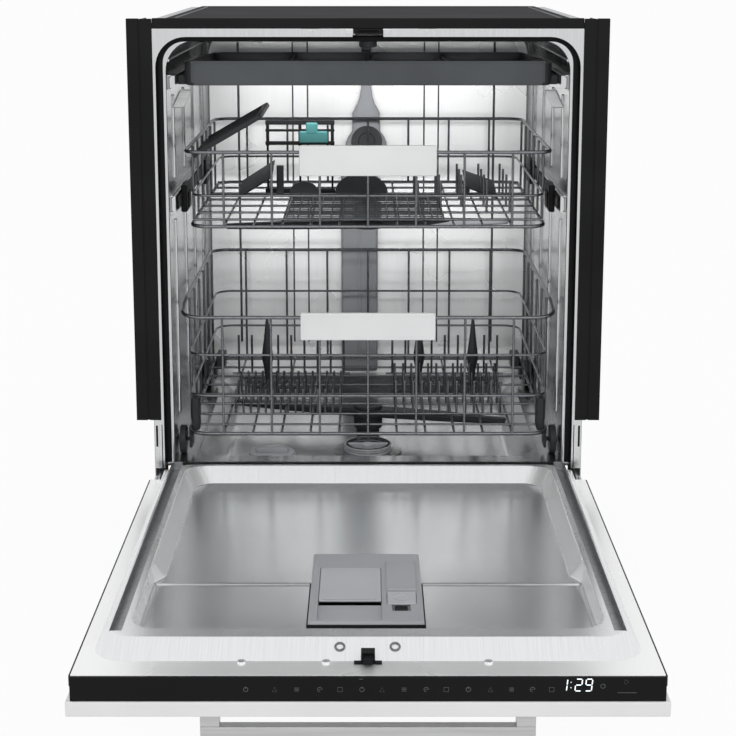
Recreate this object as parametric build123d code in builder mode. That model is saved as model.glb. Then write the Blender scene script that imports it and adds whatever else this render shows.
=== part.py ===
from build123d import *
import os
from math import cos, pi, radians, sin

# Fully integrated dishwasher, 60 cm, shown with its door open.
# Millimetres. +Z up, -Y towards the user. While the pieces are drawn, Y is measured from the
# front plane of the cabinet; save() moves each piece so that the origin is under the middle.

# Cabinet
body_width = 586.0
body_height = 818.0
body_depth = 550.0
body_half = body_width / 2
side_top = body_height - 6
fit_gap = 0.3
sheet_gap = 0.1
base_front = 54.0
base_rear = body_depth - 10
base_half = body_half - 5
base_top = 165.0
base_wall = 3.0
base_corner = 18.0
foot_height = 30.0
panel_sheet = 1.0
panel_lip = 1.0
frame_sheet = 1.5
frame_border = 34.0
cover_depth = body_depth - 72
cover_half = body_half - 10.6
cover_thickness = 13.5
cover_front = -1.2
cover_rim = 8.0
cover_skin = 2.5
cover_rib = 3.0
trim_inner = cover_half + sheet_gap
trim_outer = body_half + 23
trim_bottom = 274.0
trim_front = 1.6
trim_groove = 2.6
trim_return = (30.0, 9.0)
foot_x = body_half - 38
foot_front_y = base_front + 30
foot_rear_y = base_rear - 35
foot_pad_radius = 20.0
foot_pad_height = 6.0
foot_neck_radius = 8.0
spindle_radius = 5.0
spindle_clearance = 0.1
spindle_length = 66.0
socket_radius = 12.0
socket_height = 75.0

# Tub
tub_half = body_half - 26
tub_top = body_height - 31
tub_back_y = body_depth - 50
tub_corner = 28.0
tub_sheet = 1.2
collar_rise = 12.5
collar_top_rise = 7.0
collar_half = tub_half + collar_rise
collar_depth = 15.0
wrap_bottom = 205.0
wrap_top = tub_top + collar_top_rise
track_z = 208.0
sill_y = 20.0
sill_bottom = 180.0
floor_z = 178.0
floor_half = tub_half - 62
floor_front = 80.0
floor_rear = tub_back_y - 55
floor_corner = 30.0
floor_slope = 34.0
bead_half = 4.0
bead_rise = 2.4
bead_foot_z = floor_z + 84
back_bead_x = (-190.0, -118.0, 118.0, 190.0)
seal_thickness = 2.5
striker_half = 19.5
striker_mouth_half = 13.0
striker_rise = 3.6
bracket_x = (-75.0, 78.0)
bracket_half = 12.0
bracket_sheet = 1.3
bracket_hole = 2.2
port_reach = 10.0
inlet_port = (-body_half + 93, 100.0, 13.2)
drain_port = (-body_half + 143, 120.0, 10.5)

# Door: heights are those of the closed door, depths run from the cabinet's front plane
pivot_y = -15.0
pivot_z = 190.0
flange_gap = 2.0
hinge_clear_z = 182.0
door_half = body_half + 1
door_top = body_height - 6
door_sheet = 1.0
door_thickness = 26.0
outer_panel_foot = 165.0
front_half = body_half + 6
front_top = body_height - 2
front_bottom = 130.0
front_thickness = 16.0
glass_thickness = 3.2
plateau_rise = 14.0
plateau_half = door_half - 24
plateau_foot_half = collar_half - 0.5
plateau_top = door_top - 60
plateau_foot_top = door_top - 33
plateau_bottom = 195.0
plateau_foot_bottom = 183.0
plateau_corner = 32.0
plateau_skin = 1.2
recess_depth = 5.0
recess_half = plateau_half - 24
recess_floor_half = recess_half - 14
recess_top = plateau_top - 21
recess_floor_top = recess_top - 15
recess_bottom = 199.0
recess_floor_bottom = 221.0
recess_corner = 26.0
step_height = recess_floor_top - 151
step_depth = 5.0
step_half = recess_floor_half - 4
track_x = tub_half - 7
track_width = 13.0
track_front = recess_top + 6
flange_foot = 176.0
hinge_notch_half = door_half - 14
hinge_notch_top = 217.0
hinge_pin_radius = 4.0
hinge_clearance = 0.05
hinge_arm_length = 135.0
hinge_bracket_x = body_half - 9
hinge_bracket_rear = 72.0
hinge_plate = 3.0
hinge_eye = 9.5
hinge_rise = 8.7
spring_x = body_half - 15
spring_y = 36.0
spring_radius = 6.2
spring_top = 400.0
spring_hook_top = 424.0
handle_length = 340.0
handle_bar = 12.0
handle_post = 20.0
handle_stand_off = 28.0
handle_drop = 40.0
board_half = door_half - 64
board_y = (0.2, 22.0)

# Dispenser in the door
dispenser_left = -64.0
dispenser_right = 60.0
dispenser_high = recess_top - 40
dispenser_low = dispenser_high - 197
dispenser_proud = 3.0
dispenser_base_z = 180.0
lid_left = -54.0
lid_right = 14.5
lid_low = dispenser_low + 46
lid_high = lid_low + 93
lid_thickness = 3.0
lid_travel = 52.0
lid_grip = (5.0, 1.3)
cap_left = 21.0
cap_right = 53.0
cap_low = dispenser_low + 116
cap_high = cap_low + 32
cap_pin_radius = 1.5
cap_well_radius = 11.0
cap_notch_x = (26.0, 46.0)
cap_notch_length = 18.0
proud_lid = 0.3
lid_clearance = 0.4

# Latch
latch_half = 14.0
latch_tower_half = 7.0
bolt_half = 5.0
bolt_rise = (3.0, 9.0)
bolt_clearance = 0.2

# Baskets
wire = 3.4
rim_wire = 5.0
butt_gap = 0.02
basket_front = 24.0
basket_rear = tub_back_y - 34
lower_half = tub_half - 11
lower_floor_z = floor_z + 67
lower_rim_z = lower_floor_z + 179
lower_front_rim_z = lower_rim_z - 12
lower_levels = (lower_floor_z + 54, lower_floor_z + 112)
lower_corner = 26.0
lower_spread = lower_half - 56
upper_half = tub_half - 20
upper_floor_z = tub_top - 250
upper_rim_z = tub_top - 148
upper_levels = (upper_floor_z + 42,)
upper_corner = 24.0
upper_spread = upper_half - 52
low_tine = 34.0
high_tine = 46.0
cup_tine = 44.0
folding_tine = 62.0
folding_tine_x = (28.0, lower_half - 44)
pivot_clearance = 0.6
plate_half = 92.0
plate_thickness = 6.0
plate_rim = 2.5
lower_plate_z = (lower_front_rim_z - 30, lower_front_rim_z + 8)
upper_plate_z = (upper_rim_z - 31, upper_rim_z + 10)
wheel_radius = 20.0
wheel_width = 9.0
wheel_y = (basket_front + 38, basket_rear - 38)
wheel_drop = 0.2
axle_radius = 3.0
axle_clearance = 0.08
wheel_bracket_half = 15.0
spike_x = (-154.0, 78.0, 160.0)
spike_height = 106.0
spike_radius = (6.0, 2.6)
shelf_pivot_radius = 3.2
shelf_tilt = 30.0
shelf_length = 104.0
shelf_thickness = 2.4
shelf_y = (basket_front + 46, basket_front + 222)
holder_x = (-156.0, -50.0)
holder_post_half = 2.0
holder_half = 1.6
holder_bar = 5.0
holder_pivot_radius = 2.6

# Rails and cutlery tray
rail_gap = 0.4
rail_z = (upper_floor_z + 19, upper_floor_z + 43)
rail_front = 26.0
rail_rear = tub_back_y - 10
outer_rail = 3.2
middle_rail = 3.4
rail_web = 1.2
clip_half = 26.0
clip_y = (basket_front + 86, basket_rear - 86)
tray_half = tub_half - 20
tray_front = 40.0
tray_rear = tub_back_y - 32
tray_z = (tub_top - 60, tub_top - 27)
tray_wall = 2.6
tray_corner = 16.0
tray_slot = (100.0, 50.0)
tray_slot_pitch = (2 * tray_half / 4 - 5.5, 66.0)
tray_divider_height = 20.0
tray_divider_half = 1.2
tray_rail_z = (tub_top - 65, tub_top - 45)
tray_middle_rail = 5.0

# Water parts
arm_y = tub_back_y / 2 - 5
arm_reach = tub_half - 55
arm_thickness = 12.0
arm_tip = 20.0
lower_arm_z = track_z + 1
lower_arm_half = 15.0
lower_hub_radius = 27.0
lower_arm_turn = 14
upper_arm_z = upper_floor_z - 38
upper_arm_half = 13.0
upper_hub_radius = 24.0
upper_arm_turn = -6
nozzle_x = (70.0, 130.0, 190.0)
neck_radius = 17.5
neck_clearance = 0.1
neck_wall = 3.0
neck_rise = 22.0
feed_radius = 9.0
feed_half = 11.0
feed_z = (upper_arm_z + 15, upper_arm_z + 31)
filter_y = arm_y - 81
filter_radius = 35.0
filter_top = floor_z + 12
sump_bore = 46.0
sump_wall = 4.0
sump_bottom = 62.0
channel_left = -44.0
channel_right = 16.0
channel_middle = -2.0
channel_depth = 14.0
channel_foot = 214.0
channel_shoulder = upper_floor_z + 53
channel_feet_z = (240.0, 420.0, channel_shoulder + 10)
channel_stand_off = 4.2
neck_half = 7.0
riser_steps = ((24.0, 32.0), (19.0, 50.0), (12.0, 68.0), (8.0, 86.0), (neck_half, 104.0))
sprinkler_z = tub_top - 8
sprinkler_radius = 26.0
salt_x = -140.0
salt_y = filter_y - 34
salt_radius = 33.0
salt_neck_radius = 24.0
salt_bore_radius = 18.0
salt_plug_radius = 17.4
softener_half = 60.0
softener_top = 153.0
pump_x = (40.0, 70.0, 190.0)
pump_y = 330.0
pump_z = 95.0
pump_radius = (58.0, 44.0)
drain_pump_z = 80.0

# Worked out from the sizes above
flange_z = pivot_z - flange_gap - pivot_y
front_reach = front_top - pivot_z - pivot_y
row_shift = (front_reach - body_depth) / 2
outer_face_z = flange_z - door_thickness
plateau_z = flange_z + plateau_rise
recess_z = flange_z - recess_depth
cover_z = body_height - cover_thickness
bracket_hole_z = (wrap_top + cover_z) / 2 + 0.5
striker_z = wrap_top + striker_rise
riser_top = sprinkler_z - fit_gap

os.makedirs("parts", exist_ok=True)


def save(builder, name):
    piece = builder.part.moved(Location((0, row_shift, 0)))
    piece.label = name
    export_step(piece, f"parts/{name}.step")


def open_y(height):
    # where a height of the closed door lies along Y when the door is open
    return pivot_y + pivot_z - height


def block(x, y, z, mode=Mode.ADD):
    # a box from its lowest to its highest corner
    middle = ((x[0] + x[1]) / 2, (y[0] + y[1]) / 2, (z[0] + z[1]) / 2)
    with Locations(middle):
        Box(abs(x[1] - x[0]), abs(y[1] - y[0]), abs(z[1] - z[0]), mode=mode)


def side_span(inner, outer, side):
    return (inner, outer) if side > 0 else (-outer, -inner)


def post(x, y, z, radius, mode=Mode.ADD):
    # an upright cylinder
    with Locations((x, y, z[0])):
        Cylinder(radius, z[1] - z[0], align=(Align.CENTER, Align.CENTER, Align.MIN), mode=mode)


def drum(x, y, z, radius, sides, mode=Mode.ADD):
    # an upright drum with flats, as the hidden and faceted mouldings are
    with BuildSketch(Plane.XY.offset(z[0])) as section:
        with Locations((x, y)):
            RegularPolygon(radius, sides)
    extrude(section.sketch, amount=z[1] - z[0], mode=mode)


def drum_x(x, y, z, radius, sides, mode=Mode.ADD):
    # the same along X
    with BuildSketch(Plane.YZ.offset(x[0])) as section:
        with Locations((y, z)):
            RegularPolygon(radius, sides)
    extrude(section.sketch, amount=x[1] - x[0], mode=mode)


def pin_x(x, y, z, radius, mode=Mode.ADD):
    # a cylinder along X
    with BuildSketch(Plane.YZ.offset(x[0])) as section:
        with Locations((y, z)):
            Circle(radius)
    extrude(section.sketch, amount=x[1] - x[0], mode=mode)


def bore_y(x, z, radius, y):
    # a round hole along Y
    with BuildSketch(Plane.XZ.offset(-y[0])) as section:
        with Locations((x, z)):
            Circle(radius)
    extrude(section.sketch, amount=-(y[1] - y[0]), mode=Mode.SUBTRACT)


def arch(half, top, bottom, radius):
    # the outline of a tub mouth: square at the foot, round at the top corners
    with BuildSketch() as outline:
        with BuildLine():
            FilletPolyline(
                (-half, bottom), (-half, top), (half, top), (half, bottom), radius=radius
            )
            Line((half, bottom), (-half, bottom))
        make_face()
    return outline.sketch


def arch_ring(outer, inner, bottom, y):
    # outer and inner are (half width, top, corner radius); y is the span from front to rear
    with BuildSketch(Plane.XZ.offset(-y[0])) as ring:
        add(arch(outer[0], outer[1], bottom, outer[2]))
        add(arch(inner[0], inner[1], bottom - 1, inner[2]), mode=Mode.SUBTRACT)
    extrude(ring.sketch, amount=-(y[1] - y[0]))


def soft_corners(x, y, radius, height):
    # the corners of a level rectangle that turns in three flats at each end
    corners = (
        (x[1] - radius, y[1] - radius, 0),
        (x[0] + radius, y[1] - radius, 90),
        (x[0] + radius, y[0] + radius, 180),
        (x[1] - radius, y[0] + radius, 270),
    )
    points = []
    for corner_x, corner_y, start in corners:
        for step in range(4):
            angle = radians(start + 30 * step)
            points.append((corner_x + radius * cos(angle), corner_y + radius * sin(angle), height))
    return points


def between(lower, upper, mode=Mode.ADD):
    # a block between two level outlines with as many corners, side by side
    faces = [Face(Wire.make_polygon(lower)), Face(Wire.make_polygon(upper))]
    for corner in range(len(lower)):
        side = [lower[corner - 1], lower[corner], upper[corner], upper[corner - 1]]
        faces.append(Face(Wire.make_polygon(side)))
    add(Solid(Shell(faces)), mode=mode)


def slab(x, y, z, radius, mode=Mode.ADD):
    # a block with upright corners of the given radius
    between(soft_corners(x, y, radius, z[0]), soft_corners(x, y, radius, z[1]), mode)


def pan(z, half, y, radius, mode=Mode.ADD):
    # a block with sloping sides; z, half and y hold the lower value and the upper one
    lower = soft_corners((-half[0], half[0]), y[0], radius, z[0])
    upper = soft_corners((-half[1], half[1]), y[1], radius, z[1])
    between(lower, upper, mode)


# Wire work. Rims have six flats and thin wires four, so that crossing wires meet face to face.


def wire_section(thickness):
    if thickness > wire:
        RegularPolygon(thickness / 2, 6, major_radius=False)
    else:
        Rectangle(thickness, thickness)


def corner_reach(thickness):
    # from the middle of a rod to its side edge
    return thickness / 2 / cos(pi / 6) if thickness > wire else thickness / 2


def rods_y(spots, y, thickness):
    with BuildSketch(Plane.XZ.offset(-y[0])) as section:
        with Locations(*spots):
            wire_section(thickness)
    return extrude(section.sketch, amount=-(y[1] - y[0]), mode=Mode.PRIVATE).solids()


def rods_x(spots, x, thickness):
    with BuildSketch(Plane.YZ.offset(x[0])) as section:
        with Locations(*spots):
            wire_section(thickness)
    return extrude(section.sketch, amount=x[1] - x[0], mode=Mode.PRIVATE).solids()


def rods_z(spots, z, thickness):
    with BuildSketch(Plane.XY.offset(z[0])) as section:
        with Locations(*spots):
            wire_section(thickness)
    return extrude(section.sketch, amount=z[1] - z[0], mode=Mode.PRIVATE).solids()


def rod_between(start, end, thickness):
    run = Vector(*end) - Vector(*start)
    with BuildSketch(Plane(origin=start, z_dir=run)) as section:
        wire_section(thickness)
    return extrude(section.sketch, amount=run.length, mode=Mode.PRIVATE).solids()


def bend(centre, z, radius, start, thickness):
    # a quarter bend in the level plane, from the angle start, in two straight lengths
    sections = []
    for step in range(3):
        angle = radians(start + 45 * step)
        outward = (cos(angle), sin(angle), 0)
        place = (centre[0] + radius * outward[0], centre[1] + radius * outward[1], z)
        along = (outward[1], -outward[0], 0)
        with BuildSketch(Plane(origin=place, x_dir=outward, z_dir=along)) as section:
            wire_section(thickness)
        sections.append(section.sketch)
    return loft(sections, ruled=True, mode=Mode.PRIVATE).solids()


def wire_loop(half, y, z, radius, thickness):
    # a level loop: four straight runs and four quarter bends, butted end to end
    inset = radius + butt_gap
    runs = rods_y([(-half, z), (half, z)], (y[0] + inset, y[1] - inset), thickness)
    runs += rods_x([(y[0], z), (y[1], z)], (-half + inset, half - inset), thickness)
    corners = [
        ((half - radius, y[1] - radius), 0),
        ((-half + radius, y[1] - radius), 90),
        ((-half + radius, y[0] + radius), 180),
        ((half - radius, y[0] + radius), 270),
    ]
    for centre, start in corners:
        runs += bend(centre, z, radius, start, thickness)
    return runs


def spread(low, high, count):
    return [low + (high - low) * step / (count - 1) for step in range(count)]


# Base tray that holds the pumps

with BuildPart() as base_tray:
    slab((-base_half, base_half), (base_front, base_rear), (foot_height, base_top), base_corner)
    slab(
        (-base_half + base_wall, base_half - base_wall),
        (base_front + base_wall, base_rear - base_wall),
        (foot_height + base_wall, base_top + 1),
        base_corner - base_wall,
        Mode.SUBTRACT,
    )
    sockets = [(side * foot_x, foot_y) for side in (-1, 1) for foot_y in (foot_front_y, foot_rear_y)]
    with BuildSketch(Plane.XY.offset(foot_height)):
        with Locations(*sockets):
            RegularPolygon(socket_radius, 6, major_radius=False)
    extrude(amount=socket_height)
    with BuildSketch(Plane.XY.offset(foot_height)):
        with Locations(*sockets):
            RegularPolygon(spindle_radius + spindle_clearance, 8)
    extrude(amount=spindle_length + 4, mode=Mode.SUBTRACT)
    for x, z, radius in (inlet_port, drain_port):
        with BuildSketch(Plane.XZ.offset(-base_rear + 1)):
            with Locations((x, z)):
                Circle(radius)
        extrude(amount=-port_reach - 1)
save(base_tray, "base_tray")

# Side panels with a narrow return along the top

with BuildPart() as side_panels:
    for side in (-1, 1):
        outer = side_span(body_half - panel_sheet, body_half, side)
        panel_y = (tub_sheet + sheet_gap, tub_back_y + 4)
        block(outer, panel_y, (hinge_clear_z, side_top))
        block(outer, (base_front + 1, panel_y[1]), (base_top, hinge_clear_z))
        lip = side_span(cover_half + 2 * fit_gap, body_half, side)
        block(lip, panel_y, (side_top - panel_lip, side_top))
save(side_panels, "side_panels")

with BuildPart() as top_cover:
    block((-cover_half, cover_half), (cover_front, cover_depth), (cover_z, body_height))
    inside = (-cover_half + cover_rim, cover_half - cover_rim)
    hollow_top = body_height - cover_skin
    block(inside, (cover_rim - 2, cover_depth - cover_rim), (cover_z - 1, hollow_top), Mode.SUBTRACT)
    for rib_y in spread(90, cover_depth - 90, 4):
        rib_span = (rib_y - cover_rib / 2, rib_y + cover_rib / 2)
        block(inside, rib_span, (cover_z, hollow_top + sheet_gap))
    chamfer(top_cover.faces().sort_by(Axis.Z)[-1].edges(), 1)
save(top_cover, "top_cover")

with BuildPart() as rear_frame:
    # a folded sheet: a border across the back and a flange all round it
    half = body_half - panel_sheet - 2 * sheet_gap
    frame_z = (base_top + 2 * sheet_gap, cover_z - 0.7)
    block((-half, half), (tub_back_y + 4.5, body_depth), frame_z)
    inside_z = (frame_z[0] + frame_sheet, frame_z[1] - frame_sheet)
    inside = (-half + frame_sheet, half - frame_sheet)
    block(inside, (tub_back_y, body_depth - frame_sheet), inside_z, Mode.SUBTRACT)
    window_z = (frame_z[0] + frame_border, frame_z[1] - frame_border)
    block((-half + frame_border, half - frame_border), (tub_back_y, body_depth + 1), window_z, Mode.SUBTRACT)
save(rear_frame, "rear_frame")

# Adjustable feet: a pad on a threaded spindle

for name, side, foot_y in (
    ("front_left_foot", -1, foot_front_y),
    ("front_right_foot", 1, foot_front_y),
    ("rear_left_foot", -1, foot_rear_y),
    ("rear_right_foot", 1, foot_rear_y),
):
    with BuildPart() as foot:
        neck_top = foot_height - fit_gap
        drum(side * foot_x, foot_y, (0, foot_pad_height), foot_pad_radius, 8)
        drum(side * foot_x, foot_y, (foot_pad_height, neck_top), foot_neck_radius, 6)
        drum(side * foot_x, foot_y, (neck_top, foot_height + spindle_length), spindle_radius, 8)
    save(foot, name)

# Tub: wrap with collar and flange, back, floor

with BuildPart() as tub_wrap:
    inner_arch = (tub_half, tub_top, tub_corner)
    outer_arch = (tub_half + tub_sheet, tub_top + tub_sheet, tub_corner + tub_sheet)
    collar_in = (collar_half, wrap_top, tub_corner + collar_rise)
    collar_out = (collar_half + tub_sheet, wrap_top + tub_sheet, tub_corner + collar_rise + tub_sheet)
    flange_out = (body_half - panel_sheet, cover_z - 2 * sheet_gap, 1.5)
    arch_ring(outer_arch, inner_arch, wrap_bottom, (collar_depth, tub_back_y + tub_sheet))
    arch_ring(collar_out, inner_arch, wrap_bottom, (collar_depth, collar_depth + tub_sheet))
    arch_ring(collar_out, collar_in, wrap_bottom, (0, collar_depth + tub_sheet))
    arch_ring(flange_out, collar_in, wrap_bottom, (0, tub_sheet))
    for side in (-1, 1):
        for bead_y in spread(80, tub_back_y - 60, 4):
            bead = side_span(tub_half - bead_rise, tub_half + tub_sheet / 3, side)
            bead_span = (bead_y - bead_half, bead_y + bead_half)
            block(bead, bead_span, (bead_foot_z, rail_z[0] - 16))
    window = (-striker_half - 0.5, striker_half + 0.5)
    block(window, (-1, 12.2), (wrap_top - 1, cover_z + 1), Mode.SUBTRACT)
    for middle in bracket_x:
        slot_z = (bracket_hole_z - bracket_hole - 0.5, bracket_hole_z + bracket_hole + 0.5)
        slot_x = (middle - 2 * bracket_hole, middle + 2 * bracket_hole)
        block(slot_x, (-1, tub_sheet + 1), slot_z, Mode.SUBTRACT)
save(tub_wrap, "tub_wrap")

with BuildPart() as tub_back:
    with BuildSketch(Plane.XZ.offset(-(tub_back_y - 1.5))):
        add(arch(tub_half - 0.2, tub_top - 0.2, track_z + 0.3, tub_corner))
    extrude(amount=-tub_sheet)
    for bead_x in back_bead_x:
        bead_span = (bead_x - bead_half - 1, bead_x + bead_half + 1)
        block(bead_span, (tub_back_y - 4, tub_back_y - 1.4), (bead_foot_z, tub_top - 47))
    block((-tub_half + 37, tub_half - 37), (tub_back_y - 3.2, tub_back_y - 1.4), (tub_top - 35, tub_top - 27))
save(tub_back, "tub_back")

with BuildPart() as tub_floor:
    with BuildSketch(Plane.XY.offset(track_z - tub_sheet)):
        with Locations((0, (sill_y + tub_back_y - 2) / 2)):
            Rectangle(2 * (tub_half - 0.2), tub_back_y - 2 - sill_y)
    extrude(amount=tub_sheet)
    block((-tub_half + 0.2, tub_half - 0.2), (sill_y, sill_y + tub_sheet), (sill_bottom, track_z))
    bed_y = (floor_front, floor_rear)
    rim_y = (floor_front - floor_slope, floor_rear + floor_slope)
    rim_half = floor_half + floor_slope
    grown_bed = (bed_y[0] - tub_sheet, bed_y[1] + tub_sheet)
    grown_rim = (rim_y[0] - tub_sheet, rim_y[1] + tub_sheet)
    grown_half = (floor_half + tub_sheet, rim_half + tub_sheet)
    pan((floor_z - tub_sheet, track_z), grown_half, (grown_bed, grown_rim), floor_corner)
    pan((floor_z, track_z + 0.01), (floor_half, rim_half), (bed_y, rim_y), floor_corner, Mode.SUBTRACT)
    hole_z = (floor_z - 5, floor_z + 1)
    drum(0, filter_y, hole_z, sump_bore, 24, Mode.SUBTRACT)
    drum(0, arm_y, hole_z, neck_radius + 1, 24, Mode.SUBTRACT)
    drum(salt_x, salt_y, hole_z, salt_neck_radius + 0.5, 16, Mode.SUBTRACT)
save(tub_floor, "tub_floor")

with BuildPart() as door_gasket:
    ring_outer = (collar_half - fit_gap, wrap_top - fit_gap, tub_corner + collar_rise)
    ring_inner = (tub_half, tub_top, tub_corner)
    arch_ring(ring_outer, ring_inner, wrap_bottom + 6, (collar_depth - seal_thickness, collar_depth))
save(door_gasket, "door_gasket")

with BuildPart() as sill_seal:
    seal_x = (-tub_half + 4, tub_half - 4)
    seal_face = sill_y - seal_thickness - sheet_gap
    block(seal_x, (seal_face, sill_y), (sill_bottom + 2, track_z - 6))
    block(seal_x, (seal_face - 1.4, seal_face), (sill_bottom + 10, sill_bottom + 13))
save(sill_seal, "sill_seal")

# Black strips that close the gap to the kitchen cabinet at each side

with BuildPart() as side_trims:
    for side in (-1, 1):
        groove_x = (trim_inner + trim_outer) / 2
        trim_z = (trim_bottom, body_height - 2 * fit_gap)
        block(side_span(trim_inner, trim_outer, side), (-trim_front, 0), trim_z)
        wall = side_span(body_half + 2 * sheet_gap, body_half + 3, side)
        block(wall, (0, trim_return[0]), trim_z)
        block(side_span(groove_x + trim_groove / 2, trim_outer, side), (0, trim_return[1]), trim_z)
        groove = side_span(groove_x - trim_groove / 2, groove_x + trim_groove / 2, side)
        block(groove, (-trim_front - 1, -0.5), (trim_bottom - 1, body_height), Mode.SUBTRACT)
save(side_trims, "side_trims")

with BuildPart() as latch_striker:
    block((-striker_half, striker_half), (cover_front, 11.8), (striker_z, cover_z - 2 * sheet_gap))
    mouth = (-striker_mouth_half, striker_mouth_half)
    block(mouth, (-2, 9), (striker_z - 1, cover_z - 2.2), Mode.SUBTRACT)
    block(mouth, (cover_front, 0.4), (striker_z, striker_z + 1.5))
save(latch_striker, "latch_striker")

with BuildPart() as worktop_brackets:
    for middle in bracket_x:
        bracket_z = (wrap_top + 1.4, cover_z - fit_gap)
        block((middle - bracket_half, middle + bracket_half), (-bracket_sheet, 0), bracket_z)
        bore_y(middle, bracket_hole_z, bracket_hole, (-bracket_sheet - 1, 1))
save(worktop_brackets, "worktop_brackets")

# Water channel up the back wall, with the bottle-shaped riser to the top sprinkler

channel_y = (tub_back_y - channel_stand_off - channel_depth, tub_back_y - channel_stand_off)
with BuildPart() as water_channel:
    block((channel_left, channel_right), channel_y, (channel_foot, channel_shoulder))
    chamfer(water_channel.faces().sort_by(Axis.Y)[0].edges().filter_by(Axis.Z), 4)
    base = riser_steps[0][0]
    outline = [(base, channel_shoulder)]
    for half, rise in riser_steps:
        outline.append((half, channel_shoulder + rise))
    outline.append((neck_half, riser_top))
    with BuildSketch(Plane.XZ.offset(-channel_y[0])):
        with BuildLine():
            Line((channel_middle - base, channel_shoulder), (channel_middle + base, channel_shoulder))
            Polyline(*[(channel_middle + half, height) for half, height in outline])
            Polyline(*[(channel_middle - half, height) for half, height in outline])
            Line((channel_middle + neck_half, riser_top), (channel_middle - neck_half, riser_top))
        make_face()
    extrude(amount=-channel_depth)
    dock_x = (channel_middle - 16, channel_middle + 16)
    block(dock_x, (channel_y[0] - 3, channel_y[0]), (upper_arm_z + 9, upper_arm_z + 33))
    for foot_z in channel_feet_z:
        foot_y = (channel_y[1], tub_back_y - 1.5 - fit_gap)
        block((channel_middle - 12, channel_middle + 12), foot_y, (foot_z - 8, foot_z + 8))
save(water_channel, "water_channel")

with BuildPart() as top_sprinkler:
    plate_top = tub_top - 2 * sheet_gap
    drum(0, arm_y, (tub_top - 6, plate_top), sprinkler_radius, 20)
    drum(0, arm_y, (tub_top - 13, tub_top - 5), sprinkler_radius / 2, 12)
    block((-9, 9), (arm_y, channel_y[0] + 4), (sprinkler_z, plate_top))
save(top_sprinkler, "top_sprinkler")

# Sump under the floor, with the neck that carries the lower arm

neck_foot = floor_z - 24
under_floor = floor_z - 1.5
with BuildPart() as sump:
    drum(0, filter_y, (sump_bottom, under_floor), sump_bore + sump_wall, 20)
    block((-15, 15), (filter_y + 40, arm_y + 14), (neck_foot, under_floor))
    drum(0, arm_y, (neck_foot, under_floor), neck_radius + 6.5, 16)
    post(0, arm_y, (floor_z - 2, floor_z + neck_rise), neck_radius)
    drum(0, filter_y, (sump_bottom + sump_wall, floor_z), sump_bore - 1, 20, Mode.SUBTRACT)
    drum(0, arm_y, (neck_foot + 6, floor_z + neck_rise + 8), neck_radius - neck_wall, 12, Mode.SUBTRACT)
save(sump, "sump")

filter_flange = floor_z + 2.2
with BuildPart() as filter_cylinder:
    drum(0, filter_y, (floor_z + 0.2, filter_flange), sump_bore + sump_wall, 20)
    drum(0, filter_y, (sump_bottom + 12, filter_flange), filter_radius - 3, 20)
    drum(0, filter_y, (filter_flange, filter_top), filter_radius, 20)
    drum(0, filter_y, (floor_z - 20, filter_top + 1), filter_radius - 6, 20, Mode.SUBTRACT)
    bar_z = (filter_top - 8, filter_top)
    block((-filter_radius + 5, filter_radius - 5), (filter_y - 2, filter_y + 2), bar_z)
    drum(0, filter_y, (filter_top - 9, filter_top), 8, 8)
save(filter_cylinder, "filter")

tray_floor = foot_height + base_wall + 0.2
with BuildPart() as softener:
    softener_x = (salt_x - softener_half, salt_x + softener_half)
    softener_y = (salt_y - softener_half, salt_y + softener_half + 80)
    slab(softener_x, softener_y, (tray_floor, softener_top), salt_neck_radius)
    drum(salt_x, salt_y, (softener_top - 3, floor_z + 1.5), salt_neck_radius, 16)
    drum(salt_x, salt_y, (60, floor_z + 2), salt_bore_radius, 16, Mode.SUBTRACT)
save(softener, "softener")

cap_foot = floor_z + 1.8
with BuildPart() as salt_cap:
    drum(salt_x, salt_y, (cap_foot, floor_z + 10), salt_radius, 12)
    drum(salt_x, salt_y, (floor_z - 10, floor_z + 2), salt_plug_radius, 16)
    block((salt_x - 20, salt_x + 20), (salt_y - 3, salt_y + 3), (floor_z + 9.9, floor_z + 15))
save(salt_cap, "salt_cap")

with BuildPart() as circulation_pump:
    drum_x((pump_x[1], pump_x[2]), pump_y, pump_z, pump_radius[1], 20)
    drum_x((pump_x[0], pump_x[1]), pump_y, pump_z, pump_radius[0], 20)
    block((pump_x[0] + 8, pump_x[1] - 8), (pump_y - 68, pump_y), (60, 86))
    block((pump_x[1] + 10, pump_x[2] - 10), (pump_y - 30, pump_y + 30), (tray_floor, 60))
save(circulation_pump, "circulation_pump")

with BuildPart() as drain_pump:
    pump_start = sump_bore + sump_wall + 0.2
    motor_start = sump_bore + 60
    drum_x((pump_start, motor_start), filter_y, drain_pump_z, 22, 16)
    drum_x((motor_start, motor_start + 12), filter_y, drain_pump_z, 15, 12)
    block((sump_bore + 14, sump_bore + 50), (filter_y - 14, filter_y + 14), (tray_floor, 62))
save(drain_pump, "drain_pump")

with BuildPart() as air_break:
    air_break_x = (-body_half + panel_sheet + fit_gap, -tub_half - tub_sheet - fit_gap - sheet_gap)
    block(air_break_x, (120, tub_back_y - 80), (300, tub_top - 167))
    chamfer(air_break.edges().filter_by(Axis.X), 18)
save(air_break, "air_break")

# Hinges: a bracket with its pin at each side of the cabinet, an arm in the door

with BuildPart() as hinge_brackets:
    for side in (-1, 1):
        plate = side_span(hinge_bracket_x, hinge_bracket_x + hinge_plate, side)
        drum_x(plate, pivot_y, pivot_z, hinge_eye, 8)
        block(plate, (pivot_y, hinge_bracket_rear), (pivot_z - hinge_rise, pivot_z + hinge_rise))
        block(plate, (base_front + 2, hinge_bracket_rear), (base_top + 2 * sheet_gap, pivot_z))
        pin = side_span(hinge_bracket_x, hinge_bracket_x + 2 * hinge_plate + 1, side)
        pin_x(pin, pivot_y, pivot_z, hinge_pin_radius)
save(hinge_brackets, "hinge_brackets")

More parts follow.
